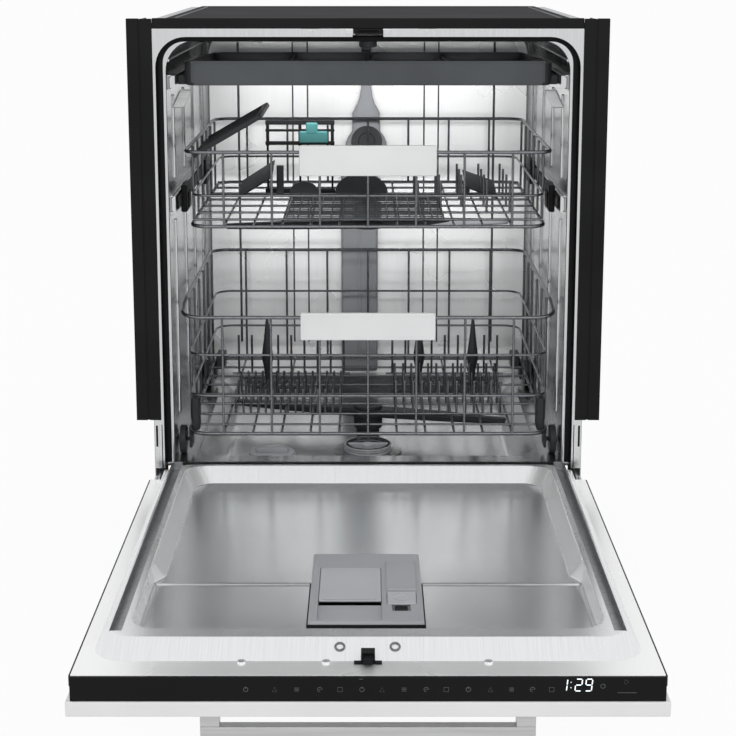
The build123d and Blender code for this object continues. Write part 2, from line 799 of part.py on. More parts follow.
with BuildPart() as hinge_arms:
    for side in (-1, 1):
        inner = hinge_bracket_x + hinge_plate + 0.5
        plate = side_span(inner, inner + hinge_plate, side)
        drum_x(plate, pivot_y, pivot_z, hinge_eye, 8)
        block(plate, (pivot_y - hinge_arm_length, pivot_y), (pivot_z - hinge_rise, pivot_z + hinge_rise))
        seat_z = (outer_face_z + door_sheet + fit_gap, pivot_z)
        block(plate, (pivot_y - hinge_arm_length, pivot_y - 2 * hinge_rise), seat_z)
        pin_x(plate, pivot_y, pivot_z, hinge_pin_radius + hinge_clearance, Mode.SUBTRACT)
save(hinge_arms, "hinge_arms")

with BuildPart() as door_springs:
    for x in (-spring_x, spring_x):
        drum(x, spring_y, (pivot_z + hinge_rise + fit_gap, spring_top), spring_radius, 8)
        drum(x, spring_y, (spring_top, spring_hook_top), 2, 4)
save(door_springs, "door_springs")

# Fixed rails on the tub walls

with BuildPart() as fixed_rails:
    for side in (-1, 1):
        wall = tub_half - fit_gap
        block(side_span(wall - outer_rail, wall, side), (rail_front, rail_rear), rail_z)
        slot = side_span(wall - outer_rail - 1, wall - rail_web, side)
        slot_y = (rail_front - 1, rail_rear + 1)
        block(slot, slot_y, (rail_z[0] + 2, rail_z[1] - 2), Mode.SUBTRACT)
        block(side_span(wall - outer_rail - 1, wall, side), (rail_front, rail_rear), tray_rail_z)
        slot = side_span(wall - outer_rail - 2, wall - rail_web, side)
        block(slot, slot_y, (tray_rail_z[0] + 2, tray_rail_z[1] - 2), Mode.SUBTRACT)
save(fixed_rails, "fixed_rails")

# Door, drawn lying open

flange_front = open_y(door_top) + 0.2
flange_rear = open_y(flange_foot)
with BuildPart() as door_inner_panel:
    with BuildSketch(Plane.XY.offset(flange_z - door_sheet)):
        with BuildLine():
            notch_y = open_y(hinge_notch_top)
            Polyline(
                (-door_half, flange_front), (door_half, flange_front), (door_half, notch_y),
                (hinge_notch_half, notch_y), (hinge_notch_half, flange_rear),
                (-hinge_notch_half, flange_rear), (-hinge_notch_half, notch_y),
                (-door_half, notch_y), (-door_half, flange_front),
            )
        make_face()
    extrude(amount=door_sheet)
    foot_span = (open_y(plateau_foot_top), open_y(plateau_foot_bottom))
    top_span = (open_y(plateau_top), open_y(plateau_bottom))
    skin = plateau_skin
    pan((flange_z, plateau_z), (plateau_foot_half, plateau_half), (foot_span, top_span), plateau_corner)
    pan(
        (flange_z - door_sheet - 0.01, plateau_z - door_sheet),
        (plateau_foot_half - skin, plateau_half - skin),
        ((foot_span[0] + skin, foot_span[1] - skin), (top_span[0] + skin, top_span[1] - skin)),
        plateau_corner - skin,
        Mode.SUBTRACT,
    )
    bed = (open_y(recess_floor_top), open_y(recess_floor_bottom))
    mouth = (open_y(recess_top), open_y(recess_bottom))
    pan(
        (recess_z - door_sheet, plateau_z - door_sheet),
        (recess_floor_half + skin, recess_half + skin),
        ((bed[0] - skin, bed[1] + skin), (mouth[0] - skin, mouth[1] + skin)),
        recess_corner,
    )
    step_y = open_y(step_height)
    step_x = (-step_half - skin, step_half + skin)
    block(step_x, (bed[0] - skin, step_y + skin), (recess_z - step_depth - door_sheet, recess_z))
    dish = (recess_floor_half, recess_half)
    pan((recess_z, plateau_z + 0.01), dish, (bed, mouth), recess_corner, Mode.SUBTRACT)
    step_z = (recess_z - step_depth, recess_z + 0.01)
    block((-step_half, step_half), (bed[0] + 2, step_y), step_z, Mode.SUBTRACT)
    for side in (-1, 1):
        wall = track_width / 2 + door_sheet
        walls = side_span(track_x - wall, track_x + wall, side)
        trough_y = (open_y(track_front + 1), open_y(plateau_bottom))
        block(walls, trough_y, (track_z - door_sheet, plateau_z - door_sheet))
        groove = side_span(track_x - track_width / 2, track_x + track_width / 2, side)
        block(groove, (open_y(track_front), flange_rear), (track_z, plateau_z + 1), Mode.SUBTRACT)
    hole_x = (dispenser_left - fit_gap, dispenser_right + fit_gap)
    hole_y = (open_y(dispenser_high) - fit_gap, open_y(dispenser_low) + fit_gap)
    block(hole_x, hole_y, (recess_z - 12, recess_z + 1), Mode.SUBTRACT)
    notch_x = (-latch_tower_half - fit_gap, latch_tower_half + fit_gap)
    notch_y = (open_y(door_top - 32), open_y(door_top - 40.4))
    block(notch_x, notch_y, (flange_z - 2, plateau_z - 2), Mode.SUBTRACT)
save(door_inner_panel, "door_inner_panel")

with BuildPart() as door_outer_panel:
    panel_half = door_half - 2 * fit_gap
    foot_y = open_y(outer_panel_foot)
    block((-panel_half, panel_half), (flange_front, foot_y), (outer_face_z, outer_face_z + door_sheet))
    edge_z = (outer_face_z, flange_z - door_sheet - fit_gap)
    for side in (-1, 1):
        edge = side_span(panel_half - door_sheet, panel_half, side)
        block(edge, (flange_front, open_y(hinge_notch_top)), edge_z)
    fold = (-hinge_notch_half, hinge_notch_half)
    block(fold, (foot_y - door_sheet, foot_y), (outer_face_z, outer_face_z + 5))
save(door_outer_panel, "door_outer_panel")

with BuildPart() as furniture_front:
    block(
        (-front_half, front_half),
        (open_y(front_top), open_y(front_bottom)),
        (outer_face_z - front_thickness, outer_face_z),
    )
    chamfer(furniture_front.edges(), 0.8)
save(furniture_front, "furniture_front")

with BuildPart() as door_handle:
    outer_z = outer_face_z - front_thickness
    bar_y = open_y(front_top - handle_drop)
    bar_span = (bar_y - handle_bar / 2, bar_y + handle_bar / 2)
    bar_top = outer_z - handle_stand_off
    block((-handle_length / 2, handle_length / 2), bar_span, (bar_top - handle_bar, bar_top))
    for side in (-1, 1):
        post_x = side_span(handle_length / 2 - handle_post, handle_length / 2, side)
        block(post_x, bar_span, (bar_top, outer_z))
    chamfer(door_handle.edges().filter_by(Axis.X), 1.2)
save(door_handle, "door_handle")

with BuildPart() as control_panel:
    glass_y = (flange_front - glass_thickness - 0.2, flange_front - 0.2)
    block((-door_half, door_half), glass_y, (outer_face_z + 0.4, flange_z))
    chamfer(control_panel.edges().filter_by(Axis.X), 0.4)
save(control_panel, "control_panel")

with BuildPart() as control_board:
    # a tray with the board lying in it
    tray_y = (flange_front + board_y[0], flange_front + board_y[1])
    block((-board_half - 6, board_half + 6), tray_y, (outer_face_z + 2, outer_face_z + 18))
    hollow = (tray_y[0] + 3.8, tray_y[1] + 1)
    block((-board_half - 3, board_half + 3), hollow, (outer_face_z + 5, outer_face_z + 19), Mode.SUBTRACT)
    block((-board_half, board_half), (hollow[0], tray_y[1] - 2), (outer_face_z + 5, outer_face_z + 7))
save(control_board, "control_board")

# Dispenser: housing, sliding detergent lid, hinged rinse-aid cap

dispenser_top_z = flange_z + dispenser_proud
cap_pivot_y = open_y(cap_low) + 0.5
cap_pivot_z = dispenser_top_z - 1.2
lid_z = (dispenser_top_z + proud_lid - lid_thickness, dispenser_top_z + proud_lid)
with BuildPart() as dispenser_housing:
    body_y = (open_y(dispenser_high), open_y(dispenser_low))
    block((dispenser_left, dispenser_right), body_y, (dispenser_base_z, dispenser_top_z))
    chamfer(dispenser_housing.faces().sort_by(Axis.Z)[-1].edges(), 1.4)
    slide_x = (lid_left - lid_clearance, lid_right + lid_clearance)
    slide_y = (open_y(lid_high) - lid_travel - lid_clearance, open_y(lid_low) + lid_clearance)
    block(slide_x, slide_y, (dispenser_top_z - 3, dispenser_top_z + 1), Mode.SUBTRACT)
    cup_y = (open_y(lid_high) + 6, open_y(lid_low) - 6)
    cup_z = (dispenser_base_z + 3, dispenser_top_z - 2)
    block((lid_left + 5, lid_right - 5), cup_y, cup_z, Mode.SUBTRACT)
    seat_x = (cap_left - lid_clearance, cap_right + lid_clearance)
    seat_y = (open_y(cap_high) - lid_clearance, open_y(cap_low) + 3)
    block(seat_x, seat_y, (dispenser_top_z - 3.4, dispenser_top_z + 1), Mode.SUBTRACT)
    well_x = (cap_left + cap_right) / 2
    well_y = open_y((cap_low + cap_high) / 2)
    drum(well_x, well_y, (dispenser_base_z + 3, dispenser_top_z), cap_well_radius, 16, Mode.SUBTRACT)
    notch_rear = open_y(cap_high) - 1
    notch_y = (notch_rear - cap_notch_length, notch_rear)
    block(cap_notch_x, notch_y, (dispenser_top_z - 5, dispenser_top_z + 1), Mode.SUBTRACT)
save(dispenser_housing, "dispenser_housing")

with BuildPart() as detergent_lid:
    lid_front = open_y(lid_high)
    block((lid_left, lid_right), (lid_front, open_y(lid_low)), lid_z)
    grip_z = (lid_z[1], lid_z[1] + lid_grip[1])
    block((lid_left + 4, lid_right - 4), (lid_front, lid_front + lid_grip[0]), grip_z)
    chamfer(detergent_lid.edges().filter_by(Axis.Z).group_by(Axis.Y)[-1], 4)
save(detergent_lid, "detergent_lid")

with BuildPart() as rinse_aid_cap:
    block((cap_left, cap_right), (open_y(cap_high), cap_pivot_y), lid_z)
    pin_x((cap_left, cap_right), cap_pivot_y, cap_pivot_z, cap_pin_radius)
save(rinse_aid_cap, "rinse_aid_cap")

# Latch at the top edge of the door

bolt_z = (flange_z + bolt_rise[0], flange_z + bolt_rise[1])
with BuildPart() as latch_body:
    base_y = (open_y(door_top - 25), open_y(door_top - 31))
    block((-latch_half, latch_half), base_y, (flange_z, flange_z + 1.6))
    tower_y = (open_y(door_top - 27.5), open_y(door_top - 40))
    block((-latch_tower_half, latch_tower_half), tower_y, (flange_z, flange_z + 11))
    slot_x = (-bolt_half - bolt_clearance, bolt_half + bolt_clearance)
    slot_y = (open_y(door_top - 22), open_y(door_top - 36))
    slot_z = (bolt_z[0] - bolt_clearance, bolt_z[1] + bolt_clearance)
    block(slot_x, slot_y, slot_z, Mode.SUBTRACT)
save(latch_body, "latch_body")

with BuildPart() as latch_bolt:
    block((-bolt_half, bolt_half), (open_y(door_top - 15.5), open_y(door_top - 29.5)), bolt_z)
    chamfer(latch_bolt.faces().sort_by(Axis.Y)[0].edges().filter_by(Axis.X), 2)
save(latch_bolt, "latch_bolt")


# Baskets


def basket_lines(half, y):
    # where the uprights, level wires and floor frame stand behind a rim of this size
    inset = corner_reach(rim_wire) + butt_gap + wire / 2
    upright = (half - inset, (y[0] + inset, y[1] - inset))
    reach = wire / 2 + butt_gap + corner_reach(wire)
    level = (upright[0] + reach, (upright[1][0] - reach, upright[1][1] + reach))
    frame = (upright[0] - 2, (upright[1][0] + 2, upright[1][1] - 2))
    return upright, level, frame


basket_y = (basket_front, basket_rear)
lower_upright, lower_level, lower_frame = basket_lines(lower_half, basket_y)
lower_long_z = lower_floor_z + rim_wire / 2 - wire / 2
lower_cross_z = lower_floor_z + rim_wire / 2 + wire / 2 + butt_gap
lower_cross_y = spread(basket_front + 38, basket_rear - 38, 8)
lower_stand_z = lower_cross_z + wire / 2 + butt_gap


def floor_wires(frame, floor_z, long_x, cross_y):
    # lengthwise wires inside the floor frame, crosswise wires on top of it
    end = corner_reach(rim_wire) + butt_gap
    long_z = floor_z + rim_wire / 2 - wire / 2
    cross_z = floor_z + rim_wire / 2 + wire / 2 + butt_gap
    lengthwise = rods_y([(x, long_z) for x in long_x], (frame[1][0] + end, frame[1][1] - end), wire)
    crosswise = rods_x([(y, cross_z) for y in cross_y], (-frame[0], frame[0]), wire)
    return lengthwise + crosswise


def uprights(upright, z, side_y, front_x, front_top):
    # upright wires round the wall of a basket
    half, y = upright
    spots = [(side * half, place) for side in (-1, 1) for place in side_y]
    walls = rods_z(spots, (z[0], z[1]), wire)
    walls += rods_z([(x, y[1]) for x in front_x], (z[0], z[1]), wire)
    walls += rods_z([(x, y[0]) for x in front_x], (z[0], front_top), wire)
    return walls


with BuildPart() as lower_basket:
    inset = lower_corner + butt_gap
    slope_end = basket_front + 70
    rim_spots = [(-lower_half, lower_rim_z), (lower_half, lower_rim_z)]
    wires = rods_y(rim_spots, (slope_end, basket_rear - inset), rim_wire)
    for side in (-1, 1):
        start = (side * lower_half, basket_front + inset, lower_front_rim_z)
        finish = (side * lower_half, slope_end - butt_gap, lower_rim_z)
        wires += rod_between(start, finish, rim_wire)
    wires += rods_x([(basket_rear, lower_rim_z)], (-lower_half + inset, lower_half - inset), rim_wire)
    wires += rods_x([(basket_front, lower_front_rim_z)], (-lower_half + inset, lower_half - inset), rim_wire)
    rear_corner = basket_rear - lower_corner
    front_corner = basket_front + lower_corner
    wires += bend((lower_half - lower_corner, rear_corner), lower_rim_z, lower_corner, 0, rim_wire)
    wires += bend((-lower_half + lower_corner, rear_corner), lower_rim_z, lower_corner, 90, rim_wire)
    wires += bend((-lower_half + lower_corner, front_corner), lower_front_rim_z, lower_corner, 180, rim_wire)
    wires += bend((lower_half - lower_corner, front_corner), lower_front_rim_z, lower_corner, 270, rim_wire)
    for level in lower_levels:
        wires += wire_loop(lower_level[0], lower_level[1], level, lower_corner, wire)
    wires += wire_loop(lower_frame[0], lower_frame[1], lower_floor_z, lower_corner, rim_wire)
    wires += floor_wires(lower_frame, lower_floor_z, spread(-lower_spread, lower_spread, 11), lower_cross_y)
    upright_z = (lower_floor_z + rim_wire / 2 + butt_gap, lower_rim_z + 1)
    side_y = spread(basket_front + 72, basket_rear - 48, 6)
    front_x = spread(-lower_spread, lower_spread, 7)
    wires += uprights(lower_upright, upright_z, side_y, front_x, lower_front_rim_z + 1)
    tine_reach = lower_spread - 10
    for row_y in lower_cross_y[1:4]:
        left = [(x, row_y) for x in spread(-tine_reach, -40, 8)]
        wires += rods_z(left, (lower_stand_z, lower_stand_z + low_tine), wire)
        right = [(x, row_y) for x in spread(40, tine_reach, 7)]
        wires += rods_z(right, (lower_stand_z, lower_stand_z + high_tine), wire)
    add(wires)
save(lower_basket, "lower_basket")

with BuildPart() as lower_basket_fittings:
    for side in (-1, 1):
        for axle_y in wheel_y:
            x = side_span(lower_frame[0] - 3, track_x - wheel_width / 2 - 0.6, side)
            span = (axle_y - wheel_bracket_half, axle_y + wheel_bracket_half)
            block(x, span, (track_z + 13, lower_floor_z - rim_wire / 2 - sheet_gap))
            pin = side_span(lower_frame[0], track_x + wheel_width / 2 + fit_gap, side)
            drum_x(pin, axle_y, track_z + wheel_radius + wheel_drop, axle_radius, 8)
    for x in spike_x:
        spike = []
        spike_z = (lower_stand_z, lower_stand_z + spike_height)
        for radius, height in zip(spike_radius, spike_z):
            with BuildSketch(Plane.XY.offset(height)) as section:
                with Locations((x, lower_cross_y[4])):
                    RegularPolygon(radius, 8)
            spike.append(section.sketch)
        loft(spike, ruled=True)
save(lower_basket_fittings, "lower_basket_fittings")

for name, side, axle_y in (
    ("wheel_front_left", -1, wheel_y[0]),
    ("wheel_front_right", 1, wheel_y[0]),
    ("wheel_rear_left", -1, wheel_y[1]),
    ("wheel_rear_right", 1, wheel_y[1]),
):
    with BuildPart() as wheel:
        # a tyre with sixteen flats and a round bore
        axle_z = track_z + wheel_radius + wheel_drop
        tyre_x = (side * track_x - wheel_width / 2, side * track_x + wheel_width / 2)
        drum_x(tyre_x, axle_y, axle_z, wheel_radius, 16)
        bore_x = (side * track_x - wheel_width, side * track_x + wheel_width)
        pin_x(bore_x, axle_y, axle_z, axle_radius + axle_clearance, Mode.SUBTRACT)
    save(wheel, name)

tine_pivot_z = lower_stand_z + wire / 2 + pivot_clearance
tine_pivot_y = lower_cross_y[5]
for name, side in (("folding_tines_left", -1), ("folding_tines_right", 1)):
    with BuildPart() as folding_tines:
        x = side_span(folding_tine_x[0], folding_tine_x[1], side)
        pin_x(x, tine_pivot_y, tine_pivot_z, wire / 2)
        spots = [(place, tine_pivot_y) for place in spread(x[0] + 10, x[1] - 10, 9)]
        tine_z = (tine_pivot_z + wire / 2 + butt_gap, tine_pivot_z + folding_tine)
        add(rods_z(spots, tine_z, wire))
    save(folding_tines, name)


def handle_plate(z):
    # a shallow cover clipped over the front wires
    front = basket_front - corner_reach(rim_wire) - fit_gap - plate_thickness
    block((-plate_half, plate_half), (front, front + plate_thickness), z)
    hollow_x = (-plate_half + plate_rim, plate_half - plate_rim)
    hollow_z = (z[0] + plate_rim, z[1] - plate_rim)
    block(hollow_x, (front + plate_rim, front + plate_thickness + 1), hollow_z, Mode.SUBTRACT)


with BuildPart() as lower_basket_handle:
    handle_plate(lower_plate_z)
save(lower_basket_handle, "lower_basket_handle")

upper_upright, upper_level, upper_frame = basket_lines(upper_half, basket_y)
upper_cross_z = upper_floor_z + rim_wire / 2 + wire / 2 + butt_gap
upper_stand_z = upper_cross_z + wire / 2 + butt_gap
upper_cross_y = spread(basket_front + 40, basket_rear - 40, 7)
with BuildPart() as upper_basket:
    wires = wire_loop(upper_half, basket_y, upper_rim_z, upper_corner, rim_wire)
    for level in upper_levels:
        wires += wire_loop(upper_level[0], upper_level[1], level, upper_corner, wire)
    wires += wire_loop(upper_frame[0], upper_frame[1], upper_floor_z, upper_corner, rim_wire)
    wires += floor_wires(upper_frame, upper_floor_z, spread(-upper_spread, upper_spread, 11), upper_cross_y)
    upright_z = (upper_floor_z + rim_wire / 2 + butt_gap, upper_rim_z + 1)
    side_y = spread(basket_front + 66, basket_rear - 56, 6)
    front_x = spread(-upper_spread, upper_spread, 7)
    wires += uprights(upper_upright, upright_z, side_y, front_x, upper_rim_z + 1)
    for row_y in upper_cross_y[1:5]:
        spots = [(x, row_y) for x in spread(70, upper_spread + 5, 5)]
        wires += rods_z(spots, (upper_stand_z, upper_stand_z + cup_tine), wire)
    add(wires)
save(upper_basket, "upper_basket")

with BuildPart() as upper_basket_handle:
    handle_plate(upper_plate_z)
save(upper_basket_handle, "upper_basket_handle")

# Cup shelf on the left wall, tilted as a support for cups

pivot_reach = wire / 2 + rail_gap + shelf_pivot_radius
shelf_pivot = (-upper_upright[0] + pivot_reach, upper_rim_z - 10)
shelf_middle = (shelf_y[0] + shelf_y[1]) / 2
with BuildPart() as cup_shelf:
    with BuildSketch(Plane.XZ.offset(-shelf_y[0])) as barrel:
        with Locations(shelf_pivot):
            Circle(shelf_pivot_radius)
    extrude(amount=-(shelf_y[1] - shelf_y[0]))
    slope = (cos(radians(shelf_tilt)), 0, sin(radians(shelf_tilt)))
    normal = (-slope[2], 0, slope[0])
    with BuildSketch(Plane(origin=(shelf_pivot[0], 0, shelf_pivot[1]), x_dir=slope, z_dir=normal)):
        with Locations((shelf_length / 2, shelf_middle)):
            Rectangle(shelf_length, shelf_y[1] - shelf_y[0])
        with Locations((shelf_length / 2 + 4, shelf_middle)):
            with GridLocations(44, 42, 2, 4):
                Rectangle(38, 34, mode=Mode.SUBTRACT)
    extrude(amount=shelf_thickness)
save(cup_shelf, "cup_shelf")

holder_y = upper_cross_y[4]
holder_span = (holder_y - holder_half, holder_y + holder_half)
holder_pivot_z = upper_stand_z + 2.8
with BuildPart() as stem_holder:
    pin_x(holder_x, holder_y, holder_pivot_z, holder_pivot_radius)
    for x in spread(holder_x[0] + 4, holder_x[1] - 4, 3):
        post_x = (x - holder_post_half, x + holder_post_half)
        block(post_x, holder_span, (holder_pivot_z, upper_rim_z + 13))
    bar_x = (holder_x[0] + 2, holder_x[1] - 2)
    for bar_z in (upper_rim_z - 23, upper_rim_z + 9):
        block(bar_x, holder_span, (bar_z, bar_z + holder_bar))
save(stem_holder, "stem_holder")

# Feed pipe and arm under the upper basket

with BuildPart() as upper_feed:
    block((-feed_half, feed_half), (arm_y - 14, channel_y[0] - 3.4), feed_z)
    chamfer(upper_feed.edges().filter_by(Axis.Y), 4)
    feed_top = upper_floor_z + rim_wire / 2 - wire - fit_gap
    drum(0, arm_y, (feed_z[0], feed_top), 20, 16)
    post(0, arm_y, (upper_arm_z + 5, feed_z[0] + 2), feed_radius)
save(upper_feed, "upper_feed")


def spray_arm(height, turn, half, hub_radius):
    # two blades on a hub, with nozzle slots along the top
    with BuildSketch(Plane.XY.offset(height)) as blades:
        with Locations(Location((0, arm_y), turn)):
            Rectangle(2 * (arm_reach - arm_tip), 2 * half)
            RegularPolygon(hub_radius, 16)
            with Locations((-arm_reach + arm_tip, 0), (arm_reach - arm_tip, 0)):
                RegularPolygon(half, 12)
    extrude(blades.sketch, amount=arm_thickness)
    with BuildSketch(Plane.XY.offset(height + arm_thickness - 2)) as nozzles:
        with Locations(Location((0, arm_y), turn)):
            with Locations([(side * x, 0) for side in (-1, 1) for x in nozzle_x]):
                Rectangle(7, 3)
    extrude(nozzles.sketch, amount=4, mode=Mode.SUBTRACT)


with BuildPart() as lower_spray_arm:
    spray_arm(lower_arm_z, lower_arm_turn, lower_arm_half, lower_hub_radius)
    bearing_top = floor_z + neck_rise + fit_gap
    drum(0, arm_y, (floor_z + 12, lower_arm_z + arm_thickness + 5), 22, 20)
    post(0, arm_y, (floor_z + 11, bearing_top), neck_radius + neck_clearance, Mode.SUBTRACT)
save(lower_spray_arm, "lower_spray_arm")

with BuildPart() as upper_spray_arm:
    spray_arm(upper_arm_z, upper_arm_turn, upper_arm_half, upper_hub_radius)
    bore_z = (upper_arm_z + 5 - fit_gap, upper_arm_z + arm_thickness + 1)
    post(0, arm_y, bore_z, feed_radius + neck_clearance, Mode.SUBTRACT)
save(upper_spray_arm, "upper_spray_arm")

# Telescopic rails of the upper basket, with the carriers that it hangs in

middle_outer = tub_half - fit_gap - outer_rail - rail_gap
with BuildPart() as upper_middle_rails:
    for side in (-1, 1):
        x = side_span(middle_outer - middle_rail, middle_outer, side)
        block(x, (rail_front, rail_rear), (rail_z[0] + 1, rail_z[1] - 1))
        tongue = side_span(middle_outer, middle_outer + 1.4, side)
        block(tongue, (rail_front, rail_rear), (rail_z[0] + 3, rail_z[1] - 3))
save(upper_middle_rails, "upper_middle_rails")

carrier_outer = middle_outer - middle_rail - rail_gap
with BuildPart() as upper_carriers:
    for side in (-1, 1):
        x = side_span(carrier_outer - 2.4, carrier_outer, side)
        block(x, (basket_front + 10, basket_rear), (rail_z[0] + 3, rail_z[1] - 3))
        clip_x = side_span(upper_half + corner_reach(rim_wire) + rail_gap, carrier_outer, side)
        for middle in clip_y:
            block(clip_x, (middle - clip_half, middle + clip_half), (rail_z[0] - 8, rail_z[1] + 6))
    chamfer(upper_carriers.edges().filter_by(Axis.X).group_by(SortBy.LENGTH)[-1], 5)
save(upper_carriers, "upper_carriers")

# Cutlery tray on its own rails

tray_middle_outer = middle_outer - 1
with BuildPart() as tray_middle_rails:
    for side in (-1, 1):
        x = side_span(tray_middle_outer - tray_middle_rail, tray_middle_outer, side)
        block(x, (rail_front, rail_rear), (tray_rail_z[0] + 1, tray_rail_z[1] - 1))
        tongue = side_span(tray_middle_outer, tray_middle_outer + 2, side)
        block(tongue, (rail_front, rail_rear), (tray_rail_z[0] + 3, tray_rail_z[1] - 3))
save(tray_middle_rails, "tray_middle_rails")

tray_runner = tray_middle_outer - tray_middle_rail - rail_gap
with BuildPart() as cutlery_tray:
    middle_y = (tray_front + tray_rear) / 2
    slab((-tray_half, tray_half), (tray_front, tray_rear), tray_z, tray_corner)
    slab(
        (-tray_half + tray_wall, tray_half - tray_wall),
        (tray_front + tray_wall, tray_rear - tray_wall),
        (tray_z[0] + tray_wall, tray_z[1] + 1),
        tray_corner - tray_wall,
        Mode.SUBTRACT,
    )
    with BuildSketch(Plane.XY.offset(tray_z[0])):
        with Locations((0, middle_y)):
            with GridLocations(tray_slot_pitch[0], tray_slot_pitch[1], 4, 6):
                Rectangle(tray_slot[0], tray_slot[1])
    extrude(amount=tray_wall, mode=Mode.SUBTRACT)
    for x in (-tray_slot_pitch[0], 0, tray_slot_pitch[0]):
        divider = (x - tray_divider_half, x + tray_divider_half)
        block(divider, (tray_front + 2, tray_rear - 2), (tray_z[0], tray_z[0] + tray_divider_height))
    for side in (-1, 1):
        runner = side_span(tray_half - 1, tray_runner, side)
        block(runner, (tray_front + 20, tray_rear - 14), (tray_rail_z[0] + 5, tray_rail_z[1] - 3))
save(cutlery_tray, "cutlery_tray")
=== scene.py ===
import math

import bmesh
import bpy
from mathutils import Matrix, Vector


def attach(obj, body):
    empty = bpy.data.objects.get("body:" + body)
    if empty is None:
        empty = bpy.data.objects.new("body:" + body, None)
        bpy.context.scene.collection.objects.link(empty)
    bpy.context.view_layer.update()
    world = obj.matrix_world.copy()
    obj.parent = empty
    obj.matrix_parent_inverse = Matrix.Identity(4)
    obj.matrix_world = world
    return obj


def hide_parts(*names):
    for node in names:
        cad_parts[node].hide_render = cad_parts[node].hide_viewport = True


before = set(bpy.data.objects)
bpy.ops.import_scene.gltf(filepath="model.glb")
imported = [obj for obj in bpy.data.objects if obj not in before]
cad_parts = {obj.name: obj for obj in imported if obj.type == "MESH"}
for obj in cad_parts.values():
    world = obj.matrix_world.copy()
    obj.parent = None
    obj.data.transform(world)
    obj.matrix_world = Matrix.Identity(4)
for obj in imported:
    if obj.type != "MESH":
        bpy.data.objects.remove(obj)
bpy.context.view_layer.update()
rowShift = 45.5  # mm from the cabinet's front plane to the object's own middle


# Places are in millimetres, with depth counted from the cabinet's front plane


def at(x, depth, z):
    return Vector((x / 1000, (depth + rowShift) / 1000, z / 1000))


def spread(low, high, count):
    return [low + (high - low) * step / (count - 1) for step in range(count)]


def across(side, inner, outer):  # a span on one side of the middle, low end first
    return sorted((side * inner, side * outer))


def around(middle, half):
    return middle - half, middle + half


def circle(radius, count, share=1.0):  # points round a circle, or round a share of it
    steps = count if share == 1.0 else count + 1
    turns = [2 * math.pi * share * step / count for step in range(steps)]
    return [(radius * math.cos(turn), radius * math.sin(turn)) for turn in turns]


def spot(element):  # a point, or the middle of a face, back in the same millimetres
    place = element.co if isinstance(element, bmesh.types.BMVert) else element.calc_center_median()
    return Vector((place.x * 1000, place.y * 1000 - rowShift, place.z * 1000))


# Modelling by hand: selecting, moving in edit mode, modifiers


def rest():
    if bpy.context.object and bpy.context.object.mode != "OBJECT":
        leave()
    bpy.ops.object.select_all(action="DESELECT")


def leave():
    bpy.ops.object.mode_set(mode="OBJECT")


def take(piece):
    rest()
    piece.select_set(True)
    bpy.context.view_layer.objects.active = piece


def settle(name):  # names the fresh piece and puts its place into its mesh
    piece = bpy.context.object
    piece.name = name
    bpy.ops.object.transform_apply(location=True, rotation=True, scale=True)
    return piece


def soften(piece, width, segments=3, angle=30):
    return finishBy(
        piece, "BEVEL", width=width / 1000, segments=segments, limit_method="ANGLE",
        angle_limit=math.radians(angle), use_clamp_overlap=True,
    )


def block(name, x, depth, z, edge=0, segments=3):
    rest()
    low, high = at(x[0], depth[0], z[0]), at(x[1], depth[1], z[1])
    bpy.ops.mesh.primitive_cube_add(size=1, location=(low + high) / 2)
    bpy.context.object.scale = high - low
    piece = settle(name)
    return soften(piece, edge, segments) if edge else piece


def drum(name, place, radius, length, edge=0, segments=3, axis="Z", sides=48):
    rest()
    turn = {"X": (0, math.pi / 2, 0), "Y": (math.pi / 2, 0, 0), "Z": (0, 0, 0)}[axis]
    bpy.ops.mesh.primitive_cylinder_add(
        vertices=sides, radius=radius / 1000, depth=length / 1000, location=at(*place), rotation=turn
    )
    piece = settle(name)
    return soften(piece, edge, segments) if edge else piece


def pair(name, inner, outer, *measures):  # the same block on both sides of the middle
    return [block(name, across(side, inner, outer), *measures) for side in (-1, 1)]


def mirrored(rows):  # such pairs from a piece's dictionary
    return [bar for name, row in rows.items() for bar in pair(name, *row)]


def formed(rows):  # blocks and drums from a piece's dictionary; a drum's row starts with its place
    return [(drum if len(row[0]) == 3 else block)(name, *row) for name, row in rows.items()]


def pick(piece, test, kind="FACE"):
    # goes into edit mode with the faces, edges or points selected that pass the test
    take(piece)
    bpy.ops.object.mode_set(mode="EDIT")
    bpy.ops.mesh.select_mode(type=kind)
    bpy.ops.mesh.select_all(action="DESELECT")
    mesh = bmesh.from_edit_mesh(piece.data)
    group = {"FACE": mesh.faces, "EDGE": mesh.edges, "VERT": mesh.verts}[kind]
    for element in group:
        if test(element):
            element.select_set(True)
    bmesh.update_edit_mesh(piece.data)


def pickAll(piece):
    pick(piece, lambda face: True)


def faceAt(piece, normal, least=0.9):  # picks the faces that look along a direction
    way = Vector(normal)
    pick(piece, lambda face: face.normal.dot(way) > least)


def shift(x=0, depth=0, z=0):
    bpy.ops.transform.translate(value=(x / 1000, depth / 1000, z / 1000))


def stretch(share, centre):
    bpy.ops.transform.resize(value=share, center_override=at(*centre))


def drawOut(x=0, depth=0, z=0):
    way = (x / 1000, depth / 1000, z / 1000)
    bpy.ops.mesh.extrude_region_move(TRANSFORM_OT_translate={"value": way})


def insetBy(width, depth=0):
    bpy.ops.mesh.inset(thickness=width / 1000, depth=depth / 1000)


def dish(piece, normal, border, slope, sunk):  # sinks the face that looks along the normal in a border
    faceAt(piece, normal, 0.99)
    insetBy(border)
    insetBy(slope, -sunk)
    leave()
    return piece


def faceOutward():
    bpy.ops.mesh.select_all(action="SELECT")
    bpy.ops.mesh.normals_make_consistent(inside=False)
    leave()


def thicken(piece, x=0, depth=0, z=0):  # a face drawn out to a closed body
    pickAll(piece)
    drawOut(x, depth, z)
    faceOutward()
    return piece


